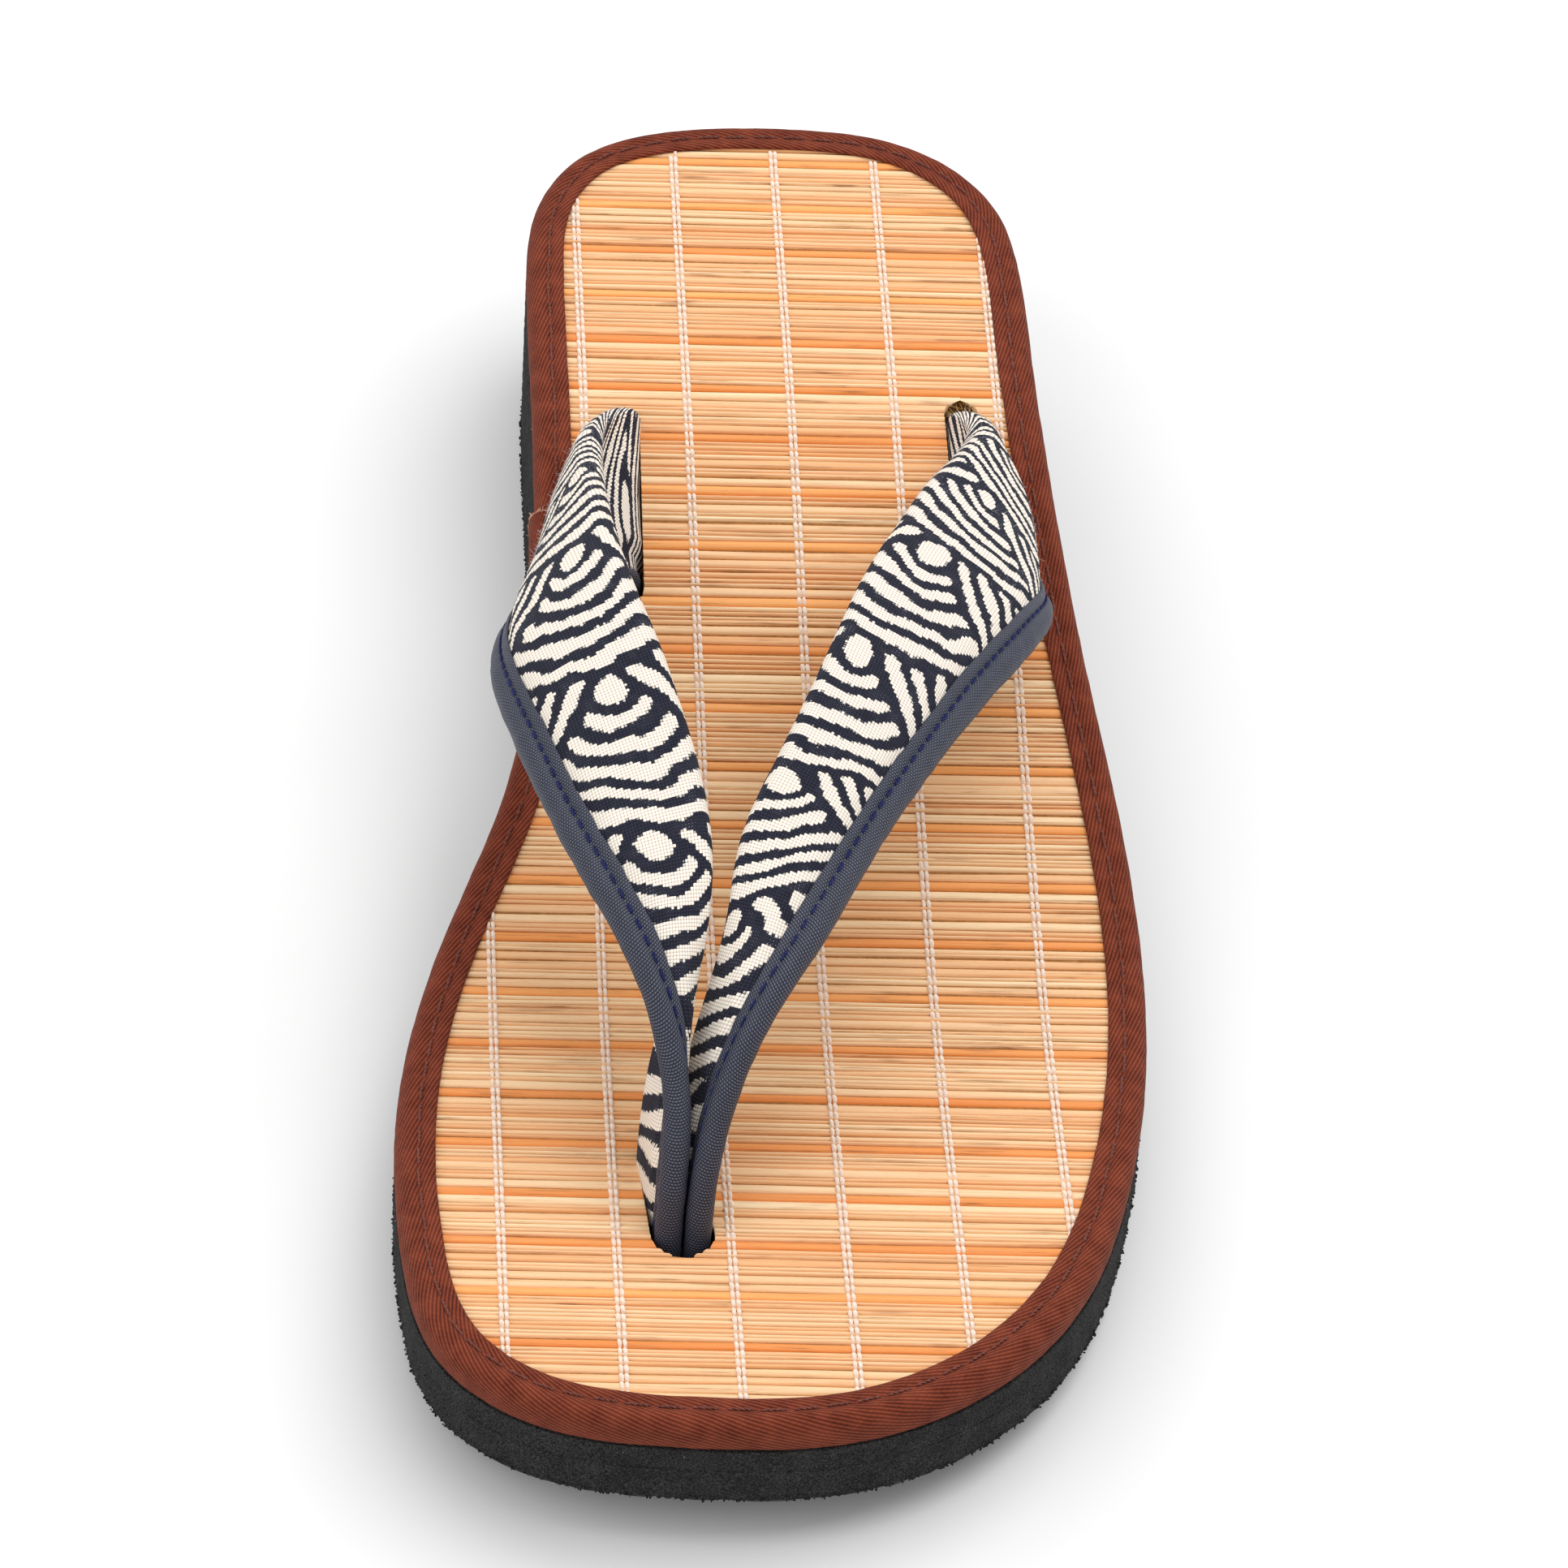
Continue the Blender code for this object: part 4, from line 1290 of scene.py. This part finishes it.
def make_slot_fibres(material):
    """Loose fibres of the backing board that show at the heel end of each slot."""
    fibres = []
    t = np.linspace(0.0, 1.0, 5)[:, None]
    for (slot_x, *_), plan in list(zip(OPENINGS, MAT_PLANS))[::2]:
        heel_end = plan[2:OPENING_ROUND_STEPS - 1]
        for _ in range(SLOT_FIBRES):
            x, y = heel_end[RANDOM.integers(len(heel_end))]
            y += RANDOM.uniform(0.0, FIBRE_BACK)
            root = np.array((x, y, footbed_height(y) - RANDOM.uniform(*FIBRE_DEPTH)))
            ahead = ((slot_x - x) * FIBRE_INWARDS, FIBRE_TOEWARDS, 0.0)
            heading = unit(ahead + RANDOM.normal(0.0, FIBRE_LEAN, 3))
            sideways = np.cross(heading, UP)
            upright = np.cross(heading, sideways)
            bend = RANDOM.normal(0.0, FIBRE_BEND, 3)
            path = root + heading * (RANDOM.uniform(*FIBRE_LENGTH) * t) + bend * t**2
            fibres.append(round_tube(path, sideways, upright, RANDOM.uniform(*FIBRE_RADIUS), 4))
    make_tubes("slot_fibres", fibres, material, "stick_mat")


def make_mat_threads(rows, material):
    """Six double threads that bind the sticks: a small loop over each stick, twice."""
    mat_plan = edge_at(EDGE_MARKS[:-1], THREAD_INSET)
    heading_x, heading_y = THREAD_HEADING
    t = np.linspace(-1.0, 1.0, 7)
    loops = []
    for grid_x in THREAD_LINES:
        reach = grid_x + THREAD_GRID_SHIFT
        start_x = reach * math.cos(THREAD_GRID_TURN) + THREAD_ORIGIN_X
        start_y = reach * math.sin(THREAD_GRID_TURN)
        for _, y0 in rows:
            step = (y0 + STICK_SLOPE * start_x - start_y) / (heading_y - STICK_SLOPE * heading_x)
            for strand in (-THREAD_APART, THREAD_APART):
                x = start_x + heading_x * step + strand + t * THREAD_SLANT
                y = start_y + heading_y * step - t * THREAD_REACH
                in_opening = any(holds(plan, x[0], y[0]) for plan in MAT_PLANS)
                if in_opening or not holds(mat_plan, x[0], y[0]):
                    continue
                z = footbed_height(y) + STICK_CROWN + THREAD_LIFT - THREAD_DIP * t**4
                radius = THREAD_RADIUS * (1 - THREAD_TAPER * t**2)
                radius = radius * RANDOM.uniform(*THREAD_UNEVEN)
                path = np.column_stack([x, y, z])
                loops.append(round_tube(path, RIGHT, UP * THREAD_FLATNESS, radius, 6))
    make_tubes("mat_threads", loops, material, "stick_mat")


# Edge tape

TAPE_SECTION = [
    # inset, height over the footbed, from the inner edge over the top and round below
    (5.28, 0.54), (5.34, 0.76), (5.2, 0.98), (4.85, 1.08), (4.3, 1.1), (3.75, 1.02),
    (3.4, TAPE_DIP_HEIGHT), (2.92, TAPE_DIP_HEIGHT), (2.6, 1.0), (2.1, 1.1), (1.55, 1.02),
    (1.05, 0.77), (0.6, 0.34), (0.26, -0.2), (0.06, -0.85), (-0.02, -1.6), (-0.02, -2.4),
    (0.04, -3.1), (0.22, -3.7), (0.65, -4.0), (1.6, -4.08), (3.0, -4.06), (4.4, -4.02),
    (4.4, -3.46), (0.75, -3.46), (0.62, -1.0), (1.9, 0.42), (3.4, 0.46),
]


def lap_rise(travel):
    """How much the tape is lifted off the footbed, where its start lies over its end."""
    return TAPE_LAP_RISE * (1 - smooth_step(TAPE_LAP, TAPE_LAP + TAPE_LAP_FADE, travel))


def tape_points(start, travel, grow):
    """Sections of the tape along the outline; grow lifts them off the footbed's edge."""
    fade = 1 - smooth_step(0.0, TAPE_LEAN_FADE, travel)
    rings = []
    for inset, height in TAPE_SECTION:
        lean = TAPE_LAP_LEAN * inset * fade
        plan = edge_at(start + travel + lean, inset + (inset - TAPE_CORE[0]) * grow)
        over = height + (height - TAPE_CORE[1]) * grow
        rings.append(np.column_stack([plan, footbed_height(plan[:, 1]) + over]))
    return np.stack(rings, axis=1)


def make_tape(material):
    """Tape folded over the footbed's edge; its start laps over its end at the seam."""
    travel = np.linspace(0.0, EDGE_LENGTH + TAPE_LAP, TAPE_COUNT)
    uneven = sum(soft_noise(travel, *row) for row in TAPE_RIPPLES)
    points = tape_points(nearest_mark(TAPE_SEAM), travel, lap_rise(travel) + uneven)
    marks = section_marks(points, travel, 0.0)
    piece = make_tubes("edge_tape", [points], material, "brown_tape", angle=70.0, place=[marks])
    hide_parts("binding")


def make_tape_stitches(material):
    """Lock stitches in the dip along the tape's top."""
    plies = []
    count = round(EDGE_LENGTH / TAPE_STITCH_PITCH)
    seam = nearest_mark(TAPE_SEAM)
    size, turn = TAPE_STITCH_SWAY
    t = np.linspace(-1, 1, 15)
    rise = TAPE_DIP_HEIGHT + TAPE_THREAD_RADIUS * TAPE_STITCH_LIFT
    for number in range(count):
        start = number * EDGE_LENGTH / count
        marks = np.linspace(start, start + TAPE_STITCH_LENGTH, len(t))
        plan = edge_at(marks, TAPE_STITCH_INSET + size * math.sin(number * turn))
        lap = (rise - TAPE_CORE[1]) * lap_rise((marks - seam) % EDGE_LENGTH)
        height = footbed_height(plan[:, 1]) + (rise + lap) - TAPE_STITCH_DIP * t**6
        across = np.column_stack([inward_at(marks), np.zeros(len(t))])
        path = np.column_stack([plan, height])
        plies += twisted_stitch(path, across, UP, TAPE_THREAD_RADIUS, TAPE_STITCH_TURNS)
    make_tubes("tape_stitches", plies, material, "brown_tape")


def make_tape_fray(material):
    """Short yarn ends along the tape's cut end, pointing towards the heel."""
    ring = tape_points(nearest_mark(TAPE_SEAM), np.array([0.0, 1.0]), lap_rise(np.zeros(2)))
    edge, ahead = ring[:, TAPE_FRAYED]
    lengths = lengths_along(edge)
    spots = np.arange(0.0, lengths[-1], FRAY_STEP)
    t = np.linspace(0.0, 1.0, 5)[:, None]
    yarns = []
    for root, inner in zip(points_at(spots, lengths, edge), points_at(spots, lengths, ahead)):
        back = unit(root - inner)
        reach = FRAY_LENGTH[0] + FRAY_LENGTH[1] * RANDOM.random() ** 3
        bend = RANDOM.normal(0.0, FRAY_BEND, 3) + UP * FRAY_RISE
        path = root + back * (reach * t - FRAY_ROOT) + bend * t**2
        radius = FRAY_RADIUS * (1 - FRAY_TAPER * t[:, 0])
        yarns.append(round_tube(path, RIGHT, UP, radius, 5))
    make_tubes("tape_fray", yarns, material, "brown_tape")


# Sole

def make_wall(name, material, low_of, high_of, size, inset, depth, seed,
              ribbed=0.0, ragged=0.0):
    """A rough skin round the sole's side, from low to high, ribbed towards the heel."""
    count, levels = size
    marks = np.linspace(0.0, EDGE_LENGTH, count, endpoint=False)
    y = edge_at(marks)[:, 1]
    low, high = low_of(y), high_of(y)
    strength = ribbed * (RIB_TOE_SHARE + (1 - RIB_TOE_SHARE) * smooth_step(*RIB_FADE_Y, y))
    strength = strength * smooth_step(*RIB_WALL_HEIGHT, high - low)
    sway = soft_noise(marks, *RIB_SWAY, seed)
    picks = np.random.default_rng(seed)
    rib_weight = picks.uniform(*RIB_WEIGHT, RIB_COUNT)
    spacing = (high - low) / (levels - 1)
    roughness = picks.normal(0.0, WALL_ROUGHNESS, (count, levels))
    roughness *= np.clip(spacing / WALL_FULL_SPACING, 0.0, 1.0)[:, None]
    roughness[:, :2] -= ragged * picks.random((count, 2)) ** 3
    rings, looks = [], []
    for level in range(levels):
        z = low + (high - low) * level / (levels - 1)
        phase = (high - z) / RIB_PITCH + sway
        groove = (0.5 + 0.5 * np.cos(2 * math.pi * phase)) ** 2
        weight = rib_weight[np.clip(np.floor(phase + 0.5).astype(int), 0, RIB_COUNT - 1)]
        sunk = strength * groove * weight
        rounding = WALL_ROUNDING * (level in (0, levels - 1))
        here = edge_at(marks, inset + RIB_DEPTH * sunk + roughness[:, level] + rounding)
        rings.append(np.column_stack([here, z]))
        # look carries each point's groove depth, which the foam's material turns into painted
        # shade
        looks.append(sunk)
    for z in (high, low):
        rings.append(np.column_stack([edge_at(marks, inset + depth), z]))
        looks.append(np.zeros(count))
    points = np.stack(rings, axis=1)
    look = np.repeat(np.stack(looks, axis=1), 3)
    faces = strip_faces(count, len(rings), closed=True)
    mesh = finish_mesh(name, points.reshape(-1, 3), faces, {"look": look})
    make_piece(name, mesh, material, angle=80.0)


def make_foam_wall(material):
    """The foam wedge's cut side: ribbed at the heel, and smoother towards the toe."""
    make_wall(
        "foam_wall", material,
        lambda y: outsole_top(y) + FOAM_ENDS[0], lambda y: midsole_top(y) + FOAM_ENDS[1],
        (FOAM_COUNT, FOAM_LEVELS), FOAM_INSET, FOAM_DEPTH, seed=41, ribbed=1.0,
    )


def make_outsole_skin(material):
    """The outsole's cut side, rough like the foam above it."""
    make_wall(
        "outsole_skin", material,
        lambda y: ground_height(y) + OUTSOLE_SKIN_ENDS[0],
        lambda y: outsole_top(y) + OUTSOLE_SKIN_ENDS[1],
        (OUTSOLE_COUNT, OUTSOLE_LEVELS), OUTSOLE_SKIN_INSET, OUTSOLE_SKIN_DEPTH,
        seed=47, ragged=OUTSOLE_RAGGED,
    )


def slab_mesh(name, rings):
    """A sole layer: rings from the bottom up, closed by strips across the width."""
    count = len(rings[0])
    faces = strip_faces(len(rings), count)
    for start in (0, (len(rings) - 1) * count):
        for i in range(count // 2):
            corners = (i, i + 1, (count - i - 1) % count, (count - i) % count)
            faces.append(tuple(start + corner for corner in dict.fromkeys(corners)))
    return finish_mesh(name, np.vstack(rings), faces, {})


def zigzag(x):
    """How far a ridge is shifted along the sole at x: a zigzag with rounded corners."""
    turn = np.arcsin(ZIGZAG_ROUNDING * np.cos(2 * math.pi * x / ZIGZAG_PERIOD))
    return ZIGZAG_SHIFT / 2 * (1 - turn / math.asin(ZIGZAG_ROUNDING))


def tread_block_mesh(name):
    """A block whose underside carries the zigzag ridges, wider than the sole."""
    x_reach = np.abs(EDGE[:, 0]).max() + TREAD_MARGIN
    x = np.arange(-x_reach, x_reach + TREAD_STEP, TREAD_STEP)
    y_high = EDGE[:, 1].max() + ZIGZAG_SHIFT
    ridges = math.ceil((y_high - TREAD_START_Y) / RIDGE_PITCH)
    points = []
    for ridge in range(ridges):
        for place, height in RIDGE_SECTION:
            y = TREAD_START_Y + ridge * RIDGE_PITCH + place + zigzag(x)
            points.append(np.column_stack([x, y, ground_height(y) + height]))
    rows, wide = len(points), len(x)
    grid = np.arange(rows * wide).reshape(rows, wide)
    border = [*grid[0], *grid[1:, -1], *grid[-1, -2::-1], *grid[-2:0:-1, 0]]
    points = np.vstack(points)
    roof = points[border] * (1, 1, 0) + (0, 0, TREAD_ROOF)
    top = np.arange(len(points), len(points) + len(border))
    under = np.stack([grid[:-1, :-1], grid[:-1, 1:], grid[1:, 1:], grid[1:, :-1]], axis=2)
    sides = np.column_stack([border, np.roll(border, -1), np.roll(top, -1), top])
    faces = [*under.reshape(-1, 4).tolist(), *sides.tolist(), top.tolist()]
    return finish_mesh(name, np.vstack([points, roof]), faces, {})


def make_tread_sole(material):
    """Outsole with its rounded zigzag ridges, cut to the sole's outline."""
    marks = np.linspace(0.0, EDGE_LENGTH, TREAD_PLAN_COUNT, endpoint=False)
    plan = edge_at(marks, OUTSOLE_INSET)
    bottom = np.column_stack([plan, np.full(len(plan), SHEET_BOTTOM)])
    top = np.column_stack([plan, outsole_top(plan[:, 1])])
    sheet = bpy.data.objects.new("tread_sheet", slab_mesh("tread_sheet", [bottom, top]))
    form = bpy.data.objects.new("tread_form", tread_block_mesh("tread_form"))
    for item in (sheet, form):
        bpy.context.scene.collection.objects.link(item)
    cut = sheet.modifiers.new("tread", "BOOLEAN")
    cut.operation = "INTERSECT"
    cut.solver = "EXACT"
    cut.object = form
    graph = bpy.context.evaluated_depsgraph_get()
    mesh = bpy.data.meshes.new_from_object(sheet.evaluated_get(graph), depsgraph=graph)
    for item in (sheet, form):
        bpy.data.objects.remove(item, do_unlink=True)
    mesh.name = "tread_sole"
    mesh.materials.clear()
    piece = make_piece("tread_sole", mesh, material, angle=45.0)
    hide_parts("outsole")


def make_lumps(name, plan, z, sizes, stretch, material):
    """Small uneven lumps on the sole's side, one at each place."""
    shape = bmesh.new()
    bmesh.ops.create_icosphere(shape, subdivisions=1, radius=1.0)
    ball = np.array([tuple(v.co) for v in shape.verts])
    ball_faces = [tuple(v.index for v in face.verts) for face in shape.faces]
    shape.free()
    points, faces = [], []
    for number, (place, size) in enumerate(zip(np.column_stack([plan, z]), sizes)):
        lump = ball * RANDOM.uniform(*LUMP_UNEVEN, (len(ball), 1)) * size
        points.append(lump * RANDOM.uniform(1 - stretch, 1 + stretch, 3) + place)
        faces += [tuple(number * len(ball) + i for i in face) for face in ball_faces]
    make_piece(name, finish_mesh(name, np.vstack(points), faces, {}), material)


def make_crumbs(material):
    """Crumbs of cut foam that cling to the sole's lower edges."""
    marks = RANDOM.uniform(0.0, EDGE_LENGTH, CRUMB_COUNT)
    plan = edge_at(marks, RANDOM.uniform(*CRUMB_INSET, CRUMB_COUNT) + OUTSOLE_SKIN_INSET)
    low = RANDOM.random(CRUMB_COUNT) < CRUMB_LOW_SHARE
    ground = ground_height(plan[:, 1])
    z = np.where(
        low, ground + RANDOM.uniform(*CRUMB_LOW, CRUMB_COUNT),
        outsole_top(plan[:, 1]) + RANDOM.uniform(*CRUMB_HIGH, CRUMB_COUNT),
    )
    sizes = RANDOM.uniform(*CRUMB_SIZE, CRUMB_COUNT) * np.where(low, 1.0, CRUMB_HIGH_SIZE)
    z = np.maximum(z, ground + sizes * CRUMB_CLEARANCE)
    make_lumps("foam_crumbs", plan, z, sizes, CRUMB_STRETCH, material)


def make_specks(material):
    """Tiny flecks of dried glue under the tape."""
    marks = RANDOM.uniform(0.0, EDGE_LENGTH, SPECK_COUNT)
    plan = edge_at(marks, RANDOM.uniform(*SPECK_INSET, SPECK_COUNT))
    z = midsole_top(plan[:, 1]) + RANDOM.uniform(*SPECK_HEIGHT, SPECK_COUNT)
    sizes = RANDOM.uniform(*SPECK_SIZE, SPECK_COUNT)
    make_lumps("glue_specks", plan, z, sizes, SPECK_STRETCH, material)


# Stage

def make_floor():
    """Plain pale floor."""
    half = FLOOR_HALF
    mesh = bpy.data.meshes.new("floor")
    corners = [(-half, -half, 0), (half, -half, 0), (half, half, 0), (-half, half, 0)]
    mesh.from_pydata(corners, [], [(0, 1, 2, 3)])
    mesh.materials.append(
        start_material("studio_floor", Roughness=0.9, Base_Color=(FLOOR_TONE,) * 3))
    floor = bpy.data.objects.new("floor", mesh)
    bpy.context.scene.collection.objects.link(floor)


def make_lights():
    """Soft square lights that face the sandal, and a white sky."""
    for name, place, size, power in LIGHTS:
        data = bpy.data.lights.new(name, "AREA")
        data.size = size
        data.energy = power
        light = bpy.data.objects.new(name, data)
        light.location = place
        light.rotation_euler = (-Vector(place)).to_track_quat("-Z", "Y").to_euler()
        bpy.context.scene.collection.objects.link(light)
    world = bpy.data.worlds.new("studio")
    world.use_nodes = True
    sky = world.node_tree.nodes["Background"]
    sky.inputs["Color"].default_value = (1.0, 1.0, 1.0, 1.0)
    sky.inputs["Strength"].default_value = SKY_STRENGTH
    bpy.context.scene.world = world


def make_camera():
    """The photo's view point and roll, turned to hold the sandal in the middle."""
    bpy.context.scene.view_settings.view_transform = "Standard"
    data = bpy.data.cameras.new("camera")
    data.lens = CAMERA_LENS
    data.sensor_width = CAMERA_SENSOR
    data.clip_start, data.clip_end = CAMERA_CLIP
    camera = bpy.data.objects.new("camera", data)
    forward = (CAMERA_TARGET - CAMERA_PLACE).normalized()
    right = (CAMERA_RIGHT - forward * CAMERA_RIGHT.dot(forward)).normalized()
    turn = Matrix((right, right.cross(forward), -forward)).transposed()
    camera.matrix_world = Matrix.Translation(CAMERA_PLACE * MM) @ turn.to_4x4()
    bpy.context.scene.collection.objects.link(camera)
    bpy.context.scene.camera = camera


def dress_node(name, material):
    """A carried-over solid gets its finished material."""
    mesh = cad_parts[name].data
    mesh.materials.clear()
    mesh.materials.append(material)


SPECKLED = [
    # name, dark and light tone, grain per metre, depth, roughness, contrast, level
    ("black_foam", (11, 11, 12), (80, 79, 78), 4200.0, 0.4, 0.95, 3.4, 0.24),
    ("black_tread", (38, 38, 41), (64, 64, 68), 1500.0, 0.06, 0.6, 1.6, 0.5),
    ("board", (128, 84, 42), (186, 132, 76), 1200.0, 0.15, 0.9, 1.6, 0.5),
    ("dried_glue", (190, 190, 190), (230, 230, 230), 2000.0, 0.02, 0.6, 1.6, 0.5),
]
THREADS = [
    # name, dark and light tone, roughness
    ("white_thread", (226, 190, 162), (255, 244, 232), 0.6),
    ("brown_thread", (58, 22, 16), (150, 88, 76), 0.8),
    ("frayed_yarn", (150, 84, 60), (226, 190, 164), 0.8),
    ("blue_thread", (16, 18, 52), (40, 48, 112), 0.5),
    ("board_fibre", (118, 82, 38), (204, 164, 104), 0.8),
    ("cloth_fuzz", (150, 154, 170), (232, 232, 236), 0.9),
]
ARMS = [
    # name, rows, side, fan, turn, seed
    ("inner", INNER_ARM, INNER_SIDE, INNER_FAN, INNER_TURN, 21),
    ("outer", OUTER_ARM, OUTER_SIDE, OUTER_FAN, OUTER_TURN, 31),
]


def build():
    weave, fans, speckle = plain_weave(), fan_print(), grain()
    matt = {row[0]: speckled_material(speckle, *row) for row in SPECKLED}
    threads = {row[0]: thread_material(*row) for row in THREADS}
    navy_tape = piping_material()

    dress_node("footbed", matt["board"])
    dress_node("midsole", matt["black_foam"])
    rows = stick_rows()
    make_sticks(rows, stick_material())
    make_mat_threads(rows, threads["white_thread"])
    make_slot_fibres(threads["board_fibre"])
    make_tape(tape_material())
    make_tape_stitches(threads["brown_thread"])
    make_tape_fray(threads["frayed_yarn"])
    make_foam_wall(matt["black_foam"])
    make_outsole_skin(matt["black_foam"])
    make_tread_sole(matt["black_tread"])
    make_crumbs(matt["black_foam"])
    make_specks(matt["dried_glue"])
    for name, table, side, fan, turn, seed in ARMS:
        cloth = cloth_material("printed_cloth_" + name, weave, fans, fan)
        surface = make_arm("strap_" + name, table, side, cloth, fan[0], turn, seed)
        make_fuzz("cloth_fuzz_" + name, *surface, side, threads["cloth_fuzz"])
        make_piping("rolled_piping_" + name, "piping_" + name, table, side, navy_tape, seed)
        make_piping_stitches("piping_stitches_" + name, table, side, threads["blue_thread"])
    make_floor()
    make_lights()
    make_camera()


build()
